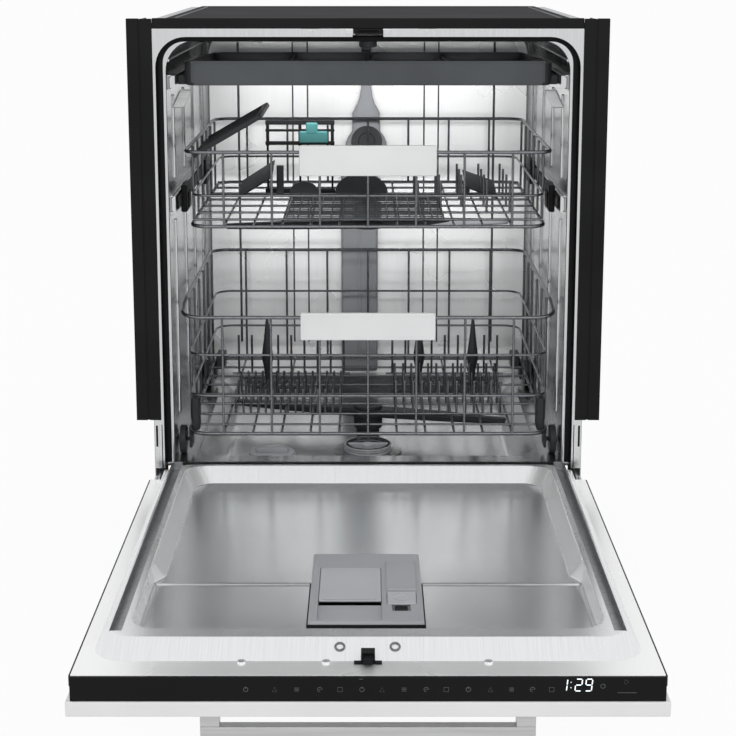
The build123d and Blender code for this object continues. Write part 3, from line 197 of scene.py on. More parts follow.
def turned(piece, degrees, axis, centre):
    pickAll(piece)
    bpy.ops.transform.rotate(value=math.radians(degrees), orient_axis=axis, center_override=at(*centre))
    leave()
    return piece


def finishBy(piece, kind, **settings):
    take(piece)
    modifier = piece.modifiers.new(kind.title(), kind)
    for key, value in settings.items():
        setattr(modifier, key, value)
    bpy.ops.object.modifier_apply(modifier=modifier.name)
    return piece


def smooth(piece, angle=35):  # round edges shade round, and flat faces stay flat
    take(piece)
    bpy.ops.object.shade_smooth_by_angle(angle=math.radians(angle))
    return finishBy(piece, "WEIGHTED_NORMAL", keep_sharp=True)


def cutAway(piece, cutter):
    finishBy(piece, "BOOLEAN", operation="DIFFERENCE", object=cutter, solver="EXACT")
    bpy.data.objects.remove(cutter)
    return piece


def joined(name, pieces):
    take(pieces[0])
    for piece in pieces:
        piece.select_set(True)
    bpy.ops.object.join()
    bpy.context.object.name = name
    return bpy.context.object


def roundRect(name, x, depth, z, radius, segments=8):  # one level face with round corners
    rest()
    low, high = at(x[0], depth[0], z), at(x[1], depth[1], z)
    bpy.ops.mesh.primitive_plane_add(size=1, location=(low + high) / 2)
    bpy.context.object.scale = (high.x - low.x, high.y - low.y, 1)
    piece = settle(name)
    bpy.ops.object.mode_set(mode="EDIT")
    bpy.ops.mesh.select_all(action="SELECT")
    bpy.ops.mesh.bevel(offset=radius / 1000, segments=segments, affect="VERTICES")
    leave()
    return piece


def fitTo(x, depth, z):  # in edit mode: sizes what is picked to a box
    mesh = bmesh.from_edit_mesh(bpy.context.object.data)
    points = [vert.co for vert in mesh.verts if vert.select]
    low = Vector([min(point[axis] for point in points) for axis in range(3)])
    high = Vector([max(point[axis] for point in points) for axis in range(3)])
    newLow, newHigh = at(x[0], depth[0], z[0]), at(x[1], depth[1], z[1])
    size = [
        (newHigh[axis] - newLow[axis]) / (high[axis] - low[axis]) if high[axis] - low[axis] > 1e-6 else 1
        for axis in range(3)
    ]
    bpy.ops.transform.resize(value=size, center_override=(low + high) / 2)
    bpy.ops.transform.translate(value=(newLow + newHigh) / 2 - (low + high) / 2)


def ringTo(half, depth, z, middle=0):  # in edit mode: draws the picked faces out to a new outline
    bpy.ops.mesh.extrude_region_move()
    depth = depth if isinstance(depth, tuple) else (depth, depth)
    z = z if isinstance(z, tuple) else (z, z)
    fitTo(around(middle, half), depth, z)


def lathe(name, place, radius, length, sides, rings):
    # a drum whose top is drawn up through round outlines, each of a radius and a height
    piece = drum(name, place, radius, length, sides=sides)
    faceAt(piece, (0, 0, 1))
    for ringRadius, height in rings:
        ringTo(ringRadius, around(place[1], ringRadius), height, place[0])
    leave()
    return piece


def openUp(piece, test):  # takes away the faces that pass the test, and leaves a sheet
    pick(piece, test)
    bpy.ops.mesh.delete(type="FACE")
    leave()


def cornered(points, radius, closed=False, steps=5):  # a bent wire: each corner is turned on an arc
    points = [Vector(point) for point in points]
    count = len(points)
    path = []
    for index, corner in enumerate(points):
        if not closed and index in (0, count - 1):
            path.append(corner)
            continue
        before = (points[index - 1] - corner).normalized()
        after = (points[(index + 1) % count] - corner).normalized()
        angle = before.angle(after)
        if angle > math.radians(176):
            path.append(corner)
            continue
        reach = radius / math.tan(angle / 2)
        middle = corner + (before + after).normalized() * (radius / math.sin(angle / 2))
        start, end = corner + before * reach - middle, corner + after * reach - middle
        axis = start.cross(end).normalized()
        turn = start.angle(end)
        for step in range(steps + 1):
            path.append(middle + Matrix.Rotation(turn * step / steps, 3, axis) @ start)
    return path


def wires(name, runs, thickness, smoothness=2, closed=False):
    # bent wires of one thickness; each run is a list of points in millimetres
    curve = bpy.data.curves.new(name, "CURVE")
    curve.dimensions = "3D"
    curve.bevel_depth = thickness / 2000
    curve.bevel_resolution = smoothness
    curve.use_fill_caps = not closed
    for run in runs:
        line = curve.splines.new("POLY")
        line.points.add(len(run) - 1)
        for point, place in zip(line.points, run):
            point.co = (*at(*place), 1)
        line.use_cyclic_u = closed
    piece = bpy.data.objects.new(name, curve)
    bpy.context.collection.objects.link(piece)
    take(piece)
    bpy.ops.object.convert(target="MESH")
    bpy.ops.object.mode_set(mode="EDIT")
    faceOutward()
    return smooth(bpy.context.object, 50)


def tell(stage):
    print("stage:", stage)


# Camera: a long lens above the open door, looking at the mouth of the tub

view = {"x": 0, "depth": -2101, "z": 902, "lens": 78.0, "tilt": 10.83, "shift": -0.15}
cameraData = bpy.data.cameras.new("productCamera")
cameraData.lens = view["lens"]
cameraData.sensor_width = 36
cameraData.shift_y = view["shift"]
cameraData.clip_start = 0.05
camera = bpy.data.objects.new("productCamera", cameraData)
bpy.context.collection.objects.link(camera)
camera.location = at(view["x"], view["depth"], view["z"])
camera.rotation_euler = (math.radians(90 - view["tilt"]), 0, 0)
bpy.context.scene.camera = camera
bpy.context.scene.view_settings.view_transform = "Standard"


# Materials


def colour(code):  # an sRGB hex code as the linear values that Blender mixes
    parts = [int(code[place:place + 2], 16) / 255 for place in (1, 3, 5)]
    return [part / 12.92 if part <= 0.04045 else ((part + 0.055) / 1.055) ** 2.4 for part in parts] + [1]


def addNode(tree, kind, settings=None, **inputs):
    # one node with its settings; an input, by name or as i and its number, takes a value or a socket
    node = tree.nodes.new(kind)
    for key, value in (settings or {}).items():
        setattr(node, key, value)
    for key, value in inputs.items():
        numbered = key[0] == "i" and key[1:].isdigit()
        socket = node.inputs[int(key[1:])] if numbered else node.inputs[key.replace("_", " ")]
        if isinstance(value, bpy.types.NodeSocket):
            tree.links.new(value, socket)
        else:
            socket.default_value = value
    return node


def newMaterial(name):
    material = bpy.data.materials.new(name)
    material.use_nodes = True
    tree = material.node_tree
    shader = tree.nodes["Principled BSDF"]
    place = addNode(tree, "ShaderNodeTexCoord").outputs["Object"]
    return material, tree, shader, place


def surface(name, pattern, cloudSize, shades, stops, rough, relief):
    # what all finishes share: a fine pattern in colour and relief, a broad cloud in roughness
    material, tree, shader, place = newMaterial(name)
    lines = addNode(tree, "ShaderNodeMapping", Vector=place, Scale=pattern["cells"])
    fine = addNode(
        tree, "ShaderNodeTexNoise", Vector=lines.outputs[0], Scale=1, Detail=pattern["detail"],
        Roughness=pattern["roughness"],
    )
    cloud = addNode(tree, "ShaderNodeTexNoise", Vector=place, Scale=cloudSize[0], Detail=cloudSize[1])
    source = fine if pattern["tints"] else cloud
    tint = addNode(tree, "ShaderNodeValToRGB", Fac=source.outputs[0])
    for stop, code, spot in zip(tint.color_ramp.elements, shades, stops):
        stop.color = colour(code)
        stop.position = spot
    level = addNode(  # the cloud's values lie between about 0.3 and 0.7
        tree, "ShaderNodeMapRange", Value=cloud.outputs[0], i1=0.3, i2=0.7, i3=rough[0], i4=rough[1]
    )
    bump = addNode(
        tree, "ShaderNodeBump", Height=fine.outputs[0], Strength=relief[0], Distance=relief[1]
    )
    tree.links.new(tint.outputs["Color"], shader.inputs["Base Color"])
    tree.links.new(level.outputs[0], shader.inputs["Roughness"])
    tree.links.new(bump.outputs[0], shader.inputs["Normal"])
    return material, shader


def stainless(name, low, high, rough, grain, relief=0.12, metal=1):
    # rolled sheet and drawn wire; grain is the count of lines a metre along X, Y and Z. Real rolling
    # lines lie 0.1 mm apart; the 900 lines a metre used here are as fine as the picture can show
    pattern = {"cells": grain, "detail": 3, "roughness": 0.6, "tints": True}
    material, shader = surface(
        name, pattern, (7, 2), (low, high), (0.3, 0.7), rough, (relief, 0.0004)
    )
    shader.inputs["Metallic"].default_value = metal
    return material


def moulded(name, base, lighter, rough, grit=900, bumpiness=0.12, shine=0.5):
    # moulded plastic, lacquer or rubber with its spark-eroded grain; grit is in cells a metre, 1.1 mm
    # where nothing else is said, which is coarser than the real 0.2 mm so that it shows
    pattern = {"cells": (grit, grit, grit), "detail": 2, "roughness": 0.5, "tints": False}
    material, shader = surface(
        name, pattern, (9, 3), (base, lighter), (0.35, 0.65), around(rough, 0.04), (bumpiness, 0.0003)
    )
    shader.inputs["Specular IOR Level"].default_value = shine
    return material


# cold-rolled stainless steel, bright annealed: a soft mirror with faint upright rolling lines
tubSteel = stainless("stainlessTubSheet", "#c6c7c8", "#d0d1d2", (0.2, 0.25), (900, 900, 14))
# the back wall's sheet, the tub's same steel painted paler than the rest as painted light, so that it reads
# bright: a pale, spread reflection
paintedBrightSteel = stainless("stainlessSheetPaintedBright", "#f2f3f3", "#f9f9f9", (0.26, 0.3), (900, 900, 14), 0.02, 0.6)
# the same sheet drawn over the door tool: bright, with rolling lines along the depth of the door
doorSteel = stainless("stainlessDoorSheet", "#e0e1e3", "#e9eaeb", (0.24, 0.28), (900, 14, 14), 0.04, 0.8)
# the dished bed of the door, stretched most: an even mirror whose grain, drawn at 3 mm, hardly shows
bedSteel = stainless("stainlessDoorBed", "#e6e8ea", "#eceeef", (0.2, 0.22), (300, 300, 300), 0.004, 0.88)
# drawn and electropolished stainless wire: tight bright highlights
wireSteel = stainless("polishedStainlessWire", "#626467", "#7c7e81", (0.24, 0.34), (300, 300, 300))
# brushed stainless bar: satin lines along the bar, 2.5 mm apart so that they show
barSteel = stainless("brushedStainlessBar", "#b6b6b7", "#c6c6c7", (0.3, 0.38), (6, 400, 400), 0.05)
# hot-dip galvanised sheet: dull grey with soft crystal patches of 17 mm
zincSheet = stainless("galvanisedSheet", "#aaadae", "#c2c4c6", (0.42, 0.55), (60, 60, 60))
# die-cast aluminium of the pumps: cloudy grey, with the skin of the mould drawn at 5 mm
castMetal = stainless("castAluminium", "#9a9c9e", "#b0b2b4", (0.4, 0.5), (200, 200, 200))
# moulded ABS, black: satin with a fine even grain
blackPlastic = moulded("blackAbs", "#111112", "#171718", 0.4, shine=0.12)
# coated sheet of the roof: black and dull, with a coarse grain of 2 mm
coverPlastic = moulded("grainedCoverSheet", "#3e3e40", "#464648", 0.85, 500, 0.3, 0.02)
# toughened glass, printed black behind: a near mirror, with the long wave of float glass
blackGlass = moulded("blackControlGlass", "#0e0e0f", "#101012", 0.08, 40, 0.01, 0.12)
# screen print on the glass: flat grey lines
iconPrint = moulded("greyPrint", "#58585a", "#606062", 0.4)
# glass-filled polypropylene, mid grey: waxy satin
greyPlastic = moulded("greyPolypropylene", "#707275", "#787a7d", 0.42, shine=0.3)
# the same compound in dark grey
darkPlastic = moulded("darkGreyPolypropylene", "#2a2b2d", "#323335", 0.45, shine=0.25)
# the same again, in the anthracite of the tray's front
trayPlastic = moulded("anthraciteTrayPolypropylene", "#484b4e", "#515457", 0.46, shine=0.25)
# unfilled polypropylene of the dispenser: pale and waxy
dispenserPlastic = moulded("lightGreyPolypropylene", "#999b9f", "#a2a4a8", 0.4, shine=0.4)
# the dispenser's lid and cap, a shade lighter and smoother
lidPlastic = moulded("paleGreyPolypropylene", "#aaacb0", "#b3b5b9", 0.36)
# stove-enamelled aluminium of the grip plates: pale satin
platePaint = moulded("palePaintedPlate", "#dddede", "#e3e4e4", 0.3, 500, 0.05)
# polyester lacquer on the furniture board: white, with a low orange peel drawn at 17 mm
whiteLacquer = moulded("whiteFurnitureLacquer", "#dedede", "#e3e3e3", 0.32, 60, 0.04)
# EPDM rubber, extruded: black and dull
rubber = moulded("blackEpdm", "#0d0d0d", "#131313", 0.62, 700, 0.2, 0.12)
# thermoplastic elastomer moulded on the grips: soft blue-green
gripRubber = moulded("tealElastomer", "#2a5354", "#315e5e", 0.5)
# solder mask over the board: green and slightly glossy
boardGreen = moulded("greenSolderMask", "#0e4a2a", "#145a34", 0.3)
# lit segments behind the glass: a cool white glow
segmentLight = {
    "Base Color": colour("#dfe6ea"), "Emission Color": colour("#e8eef2"), "Emission Strength": 0.9,
}
litDigits, tree, shader, place = newMaterial("litClockSegments")
for socket, value in segmentLight.items():
    shader.inputs[socket].default_value = value
tell("materials")


# Which finish each node of the model takes

keptFinishes = {  # only the nodes that no piece below stands in for
    blackPlastic: [
        "base_tray", "latch_striker", "latch_body", "latch_bolt", "front_left_foot", "front_right_foot",
        "rear_left_foot", "rear_right_foot",
    ],
    zincSheet: [
        "side_panels", "rear_frame", "hinge_brackets", "hinge_arms", "door_springs", "door_outer_panel",
    ],
    tubSteel: ["fixed_rails", "upper_middle_rails", "tray_middle_rails", "worktop_brackets"],
    darkPlastic: ["sump", "softener", "air_break", "drain_pump"],
    castMetal: ["circulation_pump"],
    boardGreen: ["control_board"],
}


def done(piece, material, body, *nodes):
    # paints a finished piece and hangs it on its body in place of the model's own solids
    piece.data.materials.clear()
    piece.data.materials.append(material)
    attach(piece, body)
    if nodes:
        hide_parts(*nodes)
    return piece


def fitted(name, parts, material, body, *nodes):  # joins, smooths and paints the parts of a piece
    return done(smooth(joined(name, parts)), material, body, *nodes)


def repaint(piece, material, test):  # one more finish, on the faces that pass the test
    piece.data.materials.append(material)
    for face in piece.data.polygons:
        if test(face):
            face.material_index = len(piece.data.materials) - 1


for material, nodeNames in keptFinishes.items():
    for nodeName in nodeNames:
        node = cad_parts[nodeName]
        node.data.materials.clear()
        node.data.materials.append(material)
tell("finishes on the model's own parts")


# In the dictionaries below a block is x, depth, z, edge radius and segments, a drum is its place,
# radius, length, edge radius, segments, axis and sides, and a pair starts with its inner and outer x


# Door inner panel: one pressed sheet with a raised rim, a dished bed, a step and the wheel tracks


def openRing(name, outer, hole, z):  # a flat sheet between two outlines of half width, depth and corner
    cutter = thicken(roundRect("ringHole", around(0, hole[0]), hole[1], z - 10, hole[2]), z=20)
    ring = thicken(roundRect(name, around(0, outer[0]), outer[1], z - 1, outer[2], 3), z=1)
    return cutAway(ring, cutter)


doorPanel = {
    "half": 279, "depth": (-604, -8), "z": 203, "corner": 32, "edge": 2.6, "sheet": 0.001,
    # the sheet rises to the rim, runs over it and falls to the bed: half width, depth, height
    "rings": ((270, (-577, -20), 217), (246, (-556, -24), 217), (232, (-541, -46), 198)),
    # in front of the step across the bed the sheet is wider, and it dips once more
    "cuts": (-372, -390), "widerFrom": -389, "wider": 243 / 232, "frontBed": (240, (-538.5, -395), 196.4),
    "flange": (294, (-636.8, -1), 2), "hole": (278.6, (-603.6, -8.4), 32),
    "notch": (280, 300, (-42, 5), (198, 206)), "track": (253.5, 266.5, (-562, 5), (208, 222)),
}
foot, bed = doorPanel["z"], doorPanel["rings"][-1][2]
front = doorPanel["cuts"][-1]
plateau = roundRect(
    "doorInnerPanel", around(0, doorPanel["half"]), doorPanel["depth"], foot, doorPanel["corner"]
)
pickAll(plateau)
for ring in doorPanel["rings"]:
    ringTo(*ring)
for cut in doorPanel["cuts"]:
    bpy.ops.mesh.select_all(action="SELECT")
    bpy.ops.mesh.bisect(plane_co=at(0, cut, bed), plane_no=(0, 1, 0))
pick(plateau, lambda vert: spot(vert).z < bed + 0.5 and spot(vert).y < doorPanel["widerFrom"], "VERT")
stretch((doorPanel["wider"], 1, 1), (0, front, bed))
pick(plateau, lambda face: face.normal.z > 0.9 and spot(face).z < bed + 0.5 and spot(face).y < front)
ringTo(*doorPanel["frontBed"])
leave()
openUp(plateau, lambda face: abs(face.normal.z) > 0.9 and abs(spot(face).z - foot) < 0.1)
soften(plateau, doorPanel["edge"], segments=4, angle=15)
finishBy(plateau, "SOLIDIFY", thickness=doorPanel["sheet"], offset=-1)
flange = openRing("doorFlange", doorPanel["flange"], doorPanel["hole"], foot)
for notch in pair("notch", *doorPanel["notch"]):
    cutAway(flange, notch)
for track in pair("track", *doorPanel["track"]):
    cutAway(plateau, track)
soften(flange, 0.4, segments=2, angle=50)
doorInner = joined("doorInnerPanel", [plateau, flange])
done(smooth(doorInner, angle=30), doorSteel, "door", "door_inner_panel")


def onBed(face):
    return face.center.z < 0.1985  # in the frame's metres, as all of a mesh's own measures are


def onSlope(face):  # the bed's side slopes and the flange, which take the paler sheet as a painted highlight
    slope = abs(face.normal.x) > 0.2 and abs(face.center.x) < 0.2535
    return not onBed(face) and (slope or face.normal.z > 0.9 and face.center.z < 0.204)


repaint(doorInner, bedSteel, onBed)
repaint(doorInner, paintedBrightSteel, onSlope)

# black strips down both sides of the door's inner panel: painted shade for the shadow gap at the door's side
# edges
doorSideShade = {"strip": (293.4, 295.2, (-637, -44), (192, 203.2), 0.4, 2)}
done(joined("doorSideShadeStrips", mirrored(doorSideShade)), blackPlastic, "door")

screwRing = {"x": (-28.5, 27.5), "depth": -588.5, "z": 211.6, "radius": 4.6, "slope": 27.4, "wire": 2.2}
slope = math.radians(screwRing["slope"])  # the rings lie on the rim's sloped wall
rings = [[
    (x + a, screwRing["depth"] + b * math.cos(slope), screwRing["z"] + b * math.sin(slope))
    for a, b in circle(screwRing["radius"], 20)
] for x in screwRing["x"]]
done(wires("doorScrewRings", rings, screwRing["wire"], closed=True), wireSteel, "door")

rimStop = {"x": (-127, -42, 121), "spot": (-607, 203.6), "form": (4.5, 2.4, 0.8, 3, "Z", 24)}
stops = [drum("rimStop", (x, *rimStop["spot"]), *rimStop["form"]) for x in rimStop["x"]]
fitted("rimStops", stops, doorSteel, "door")

wheelTrack = {"bar": (253.4, 266.6, (-562.5, -8.2), (207, 216.8)), "lip": 0.8, "sunk": 8.8, "edge": 0.6}
troughs = pair("wheelTrack", *wheelTrack["bar"])
for trough in troughs:
    faceAt(trough, (0, 0, 1))
    insetBy(wheelTrack["lip"])
    drawOut(z=-wheelTrack["sunk"])
    leave()
tracks = soften(joined("wheelTracks", troughs), wheelTrack["edge"], segments=2)
done(smooth(tracks, angle=30), castMetal, "door")
tell("door inner panel")


# Tub: wrap with collar and front flange, ribs, back and floor


def archFace(name, half, depth, z, radius):  # an upright face with round top corners
    middle = (z[0] + z[1]) / 2
    rest()
    bpy.ops.mesh.primitive_plane_add(
        size=1, location=at(0, depth, middle), rotation=(math.pi / 2, 0, 0)
    )
    bpy.context.object.scale = (2 * half / 1000, (z[1] - z[0]) / 1000, 1)
    piece = settle(name)
    pick(piece, lambda vert: spot(vert).z > middle, "VERT")
    bpy.ops.mesh.bevel(offset=radius / 1000, segments=10, affect="VERTICES")
    leave()
    return piece


tub = {
    "mouth": (279.5, 0, (205, 794), 40), "low": 205, "edge": 2.5,
    # collar, walls and the round edge to the back: half width, depth, top
    "rings": (
        (278.8, 14.6, 793.4), (267, 15.4, 787), (267, 478, 787), (265, 490, 785), (258, 497, 778),
        (250, 498.4, 770),
    ),
    "boltWindow": ((-9, 9), (1.6, 12.2), (790, 798)), "back": (262, 498.2, (205, 782), 30),
    "backSheet": 0.0008,
}
wrap = archFace("tubWrap", *tub["mouth"])
pickAll(wrap)
for half, depth, top in tub["rings"]:
    ringTo(half, depth, (tub["low"], top))
leave()
openUp(wrap, lambda face: abs(face.normal.z) > 0.95 and spot(face).z < tub["low"] + 0.5)
openUp(wrap, lambda face: abs(face.normal.y) > 0.9 and spot(face).y < 1)
openUp(wrap, lambda face: abs(face.normal.y) > 0.9 and spot(face).y > 495)
soften(wrap, tub["edge"], segments=3, angle=40)
cutAway(wrap, block("boltWindow", *tub["boltWindow"]))
done(smooth(wrap, angle=40), tubSteel, "cabinet", "tub_wrap")
back = archFace("tubBack", *tub["back"])
finishBy(back, "SOLIDIFY", thickness=tub["backSheet"], offset=0)
done(smooth(back), paintedBrightSteel, "cabinet", "tub_back")

roofBead = {"spots": ((264.6, 762), (259, 776), (246, 785)), "depth": (17, 484), "wire": 4}
roofRuns = [
    [(side * x, depth, z) for depth in roofBead["depth"]] for side in (-1, 1) for x, z in roofBead["spots"]
]
done(wires("roofBeads", roofRuns, roofBead["wire"]), tubSteel, "cabinet")

bead = {
    "spans": ((-122, -99), (92, 114)), "lines": (-211, 205), "z": (262, 760), "shadeLineDepth": 498.6,
    "shadeLineWire": 4.4, "depth": (496.6, 498.4), "edge": 1.4,
}
# dark steel lines on the back wall, down the beads' edges and at two more places: painted shade for the dark
# shadow sides of the pressed beads
edges = [x for span in bead["spans"] for x in span] + list(bead["lines"])
shadeLineRuns = [[(x, bead["shadeLineDepth"], z) for z in bead["z"]] for x in edges]
done(wires("backBeadShadeLines", shadeLineRuns, bead["shadeLineWire"]), wireSteel, "cabinet")
raised = [block("backBead", span, bead["depth"], bead["z"], bead["edge"]) for span in bead["spans"]]
fitted("backBeads", raised, paintedBrightSteel, "cabinet")

tubFlange = {
    "sheet": ((-292, 292), (-0.2, 0.8), (205, 804.3)), "mouth": (279, -10, (190, 793.6), 40),
    "striker": ((-20, 20), (-5, 5), (793, 810)), "edge": 0.3,
}
rim = block("tubFlange", *tubFlange["sheet"])
cutAway(rim, thicken(archFace("mouth", *tubFlange["mouth"]), depth=20))
cutAway(rim, block("strikerWindow", *tubFlange["striker"]))
done(smooth(soften(rim, tubFlange["edge"], segments=2, angle=50), angle=30), tubSteel, "cabinet")

wallRib = {"x": (264.4, 269), "depths": (80, 440, 4), "half": 4, "z": ((262, 540), (596, 712)), "out": 2.2}
ribs = []
for depth in spread(*wallRib["depths"]):
    for z in wallRib["z"]:
        ribs += pair("wallRib", *wallRib["x"], around(depth, wallRib["half"]), z, wallRib["out"], 4)
done(smooth(joined("tubRibs", ribs), angle=50), tubSteel, "cabinet")

tubFloor = {
    "z": 208, "well": (239, (46, 479), 32), "wellLow": (205, (80, 445), 178), "edge": 6, "sheet": 0.001,
    "outer": (267, (20, 498), 2), "hole": (238.6, (46.4, 478.6), 32),
    "sill": ((-266.8, 266.8), (20, 21.2), (180, 207.6)), "sump": ((0, 164, 178), 45, 30),
}
half, depth, corner = tubFloor["well"]
well = roundRect("tubWell", around(0, half), depth, tubFloor["z"], corner)
pickAll(well)
ringTo(*tubFloor["wellLow"])
leave()
openUp(well, lambda face: spot(face).z > tubFloor["z"] - 0.1)
soften(well, tubFloor["edge"], segments=4, angle=15)
finishBy(well, "SOLIDIFY", thickness=tubFloor["sheet"], offset=-1)
ledge = openRing("tubFloor", tubFloor["outer"], tubFloor["hole"], tubFloor["z"])
sill = block("sill", *tubFloor["sill"])
cutAway(well, drum("sumpHole", *tubFloor["sump"]))
fitted("tubFloor", [ledge, well, sill], tubSteel, "cabinet", "tub_floor")
tell("tub")


# Gasket round the mouth: a soft lip, pressed flat

gasket = {"half": 274.8, "depth": 13, "z": (210, 790.8), "corner": 33, "lip": 7.8, "flat": 0.42}
corners = [
    (side * gasket["half"], gasket["depth"], gasket["z"][level])
    for side, level in ((-1, 0), (-1, 1), (1, 1), (1, 0))
]
lip = wires("doorGasket", [cornered(corners, gasket["corner"], steps=10)], gasket["lip"], 4)
pickAll(lip)
stretch((1, gasket["flat"], 1), (0, gasket["depth"], 0))
leave()
done(lip, rubber, "cabinet", "door_gasket")
tell("gasket")


# Baskets of bent wire


def loopPath(half, depth, z, radius, frontZ=None, slope=70):
    # a closed rim; a lower front runs down over the first part of each side
    front, back = depth
    if frontZ is None:
        corners = [(-half, front, z), (half, front, z), (half, back, z), (-half, back, z)]
    else:
        corners = [
            (-half, front, frontZ), (half, front, frontZ), (half, front + slope, z), (half, back, z),
            (-half, back, z), (-half, front + slope, z),
        ]
    return cornered(corners, radius, closed=True)


wireSize = {"wire": 3.4, "rim": 5.0}
baskets = {
    "lowerBasket": {
        "corner": 26, "rims": ((256, (24, 466), 424, 412), (249.4, (30.6, 459.4), 245, None)),
        "bands": (247.3, (32.7, 457.3), (299, 357)),
        "walls": (251.4, (28.6, 461.4), 246, 425, 413),  # half width, depth, low, high, high in front
        "sideWires": (96, 418, 6), "frontWires": (-200, 200, 7),
        "floorWires": (-200, 200, 11), "floor": ((31, 459), 245.8),  # depth and height
        "crossWires": (62, 428, 8), "cross": (249, 249.2),  # half width and height
        "tineRows": slice(1, 4), "tineZ": 250.9, "tines": (((-190, -40, 15), 285), ((40, 190, 13), 297)),
    },
    "upperBasket": {
        "corner": 24, "rims": ((247, (24, 466), 639, None), (240.4, (30.6, 459.4), 537, None)),
        "bands": (238.3, (32.7, 457.3), (579,)),
        "walls": (242.4, (28.6, 461.4), 538, 640, 640),
        "sideWires": (90, 410, 6), "frontWires": (-195, 195, 7),
        "floorWires": (-195, 195, 11), "floor": ((31, 459), 537.8),
        "crossWires": (64, 426, 7), "cross": (240, 541.2),
        "tineRows": slice(1, 5), "tineZ": 542.9, "tines": (((70, 200, 5), 586.9),),
    },
}
for name, basket in baskets.items():
    rims = [loopPath(half, depth, z, basket["corner"], low) for half, depth, z, low in basket["rims"]]
    half, depth, levels = basket["bands"]
    bands = [loopPath(half, depth, level, basket["corner"]) for level in levels]
    half, (front, back), low, high, frontHigh = basket["walls"]
    runs = []
    for place in spread(*basket["sideWires"]):
        runs += [[(side * half, place, low), (side * half, place, high)] for side in (-1, 1)]
    for x in spread(*basket["frontWires"]):
        runs += [[(x, back, low), (x, back, high)], [(x, front, low), (x, front, frontHigh)]]
    depths, floorZ = basket["floor"]
    runs += [[(x, depth, floorZ) for depth in depths] for x in spread(*basket["floorWires"])]
    crossPlaces = spread(*basket["crossWires"])
    half, crossZ = basket["cross"]
    runs += [[(-half, place, crossZ), (half, place, crossZ)] for place in crossPlaces]
    for row in crossPlaces[basket["tineRows"]]:
        for places, top in basket["tines"]:
            runs += [[(x, row, basket["tineZ"]), (x, row, top)] for x in spread(*places)]
    cage = joined(name, [
        wires("rims", rims, wireSize["rim"], smoothness=3, closed=True),
        wires("bands", bands, wireSize["wire"], closed=True),
        wires("runs", runs, wireSize["wire"]),
    ])
    node = name[:5] + "_basket"
    done(cage, wireSteel, node, node)

foldingTines = {
    "foldingTinesLeft": ("folding_tines_left", (-212, -28)),
    "foldingTinesRight": ("folding_tines_right", (28, 212)),
}
tineRow = {"depth": 323.4, "low": 253.2, "high": 315, "count": 9, "inset": 10}
for name, (node, ends) in foldingTines.items():
    depth, low = tineRow["depth"], tineRow["low"]
    runs = [[(x, depth, low) for x in ends]]
    for x in spread(ends[0] + tineRow["inset"], ends[1] - tineRow["inset"], tineRow["count"]):
        runs.append([(x, depth, low), (x, depth, tineRow["high"])])
    done(wires(name, runs, wireSize["wire"]), wireSteel, node, node)
tell("baskets")


# Light grip plates on the baskets' fronts

gripPlate = {
    "x": (-92, 92), "depth": (14.9, 20.8), "edge": 1.6, "border": 2.4, "sunk": 0.4,
    "z": {"lower": (382, 420), "upper": (608, 649)},
}
for level, z in gripPlate["z"].items():
    plate = block(level + "GripPlate", gripPlate["x"], gripPlate["depth"], z, gripPlate["edge"], 4)
    faceAt(plate, (0, -1, 0), 0.99)
    insetBy(gripPlate["border"])
    drawOut(depth=gripPlate["sunk"])
    leave()
    done(smooth(plate), platePaint, level + "_basket", level + "_basket_handle")
tell("grip plates")


# Outside: black trims, top cover, furniture front, handle

sideTrim = {
    "inner": (282.6, 297.9, (-1.6, 0), (274, 817.4)), "outer": (300.6, 316, (-1.6, 8.8), (274, 817.4)),
    "groove": (297.5, 301, (-0.6, 0.2), (274.4, 817)), "return": (293.3, 296, (0.1, 30), (274, 817.4)),
}
trims = soften(joined("sideTrims", mirrored(sideTrim)), 0.8, segments=3, angle=40)
done(smooth(trims), blackPlastic, "cabinet", "side_trims")

topCover = {
    "sheet": ((-266, 266), (4, 478), (804.5, 818), 1.6),
    "lip": ((-282.4, 282.4), (-1.2, 5), (804.5, 818), 1.2),
    "bed": ((-282.2, 282.2), (5, 477.8), (804.6, 808)),
}
coverField = {"border": 9, "slope": 1.6, "sunk": 1.2}
coverForms = formed(topCover)
dish(coverForms[0], (0, 0, 1), **coverField)
cover = fitted("topCover", coverForms, blackPlastic, "cabinet", "top_cover")
repaint(cover, coverPlastic, lambda face: face.normal.z > 0.9)
panelFold = {"fold": (266.8, 282, (5.4, 478), (808.2, 816.6), 0.4, 2)}
fitted("panelFolds", mirrored(panelFold), castMetal, "cabinet")

furnitureFront = {"x": (-299, 299), "depth": (-641, 45), "z": (161, 177), "edge": 1.4, "segments": 4}
done(smooth(block("furnitureFront", **furnitureFront)), whiteLacquer, "door", "furniture_front")

doorHandle = {
    "bar": ((-170, 170), (-607, -595), (121, 133), 1.6, 4),
    "post": (150, 170, (-606.6, -595.4), (132.6, 161), 1),
}
posts = pair("post", *doorHandle["post"])
fitted("doorHandle", [block("handleBar", *doorHandle["bar"])] + posts, barSteel, "door", "door_handle")
tell("outside")


# Control strip: black glass with grey touch marks and a lit clock

controlStrip = {"x": (-294, 294), "depth": (-640.2, -637), "z": (177.4, 203), "edge": 0.7}
done(smooth(block("controlStrip", **controlStrip)), blackGlass, "door", "control_panel")

mark = {
    "face": -640.28, "line": 0.5, "half": 2.3, "middle": 190.0,
    "x": (
        -120.4, -91.8, -70.1, -47.4, -27.6, -5.9, 13.8, 35.5, 57.3, 77.0, 98.7, 120.4, 141.2, 161.9, 180.7,
    ),
    "ring": (231, 193.5, 2.2), "arrow": ((252.5, 195.5), (252.5, 200.5), (256.5, 198)),
    "dashes": (((245.6, 186.6), (264.4, 186.6)), ((-9, 201), (-5, 201))),
}


def onGlass(points):
    return [(x, mark["face"], z) for x, z in points]


def ringMark(x, z, radius, count=14, share=1.0):
    return onGlass([(x + a, z + b) for a, b in circle(radius, count, share)])


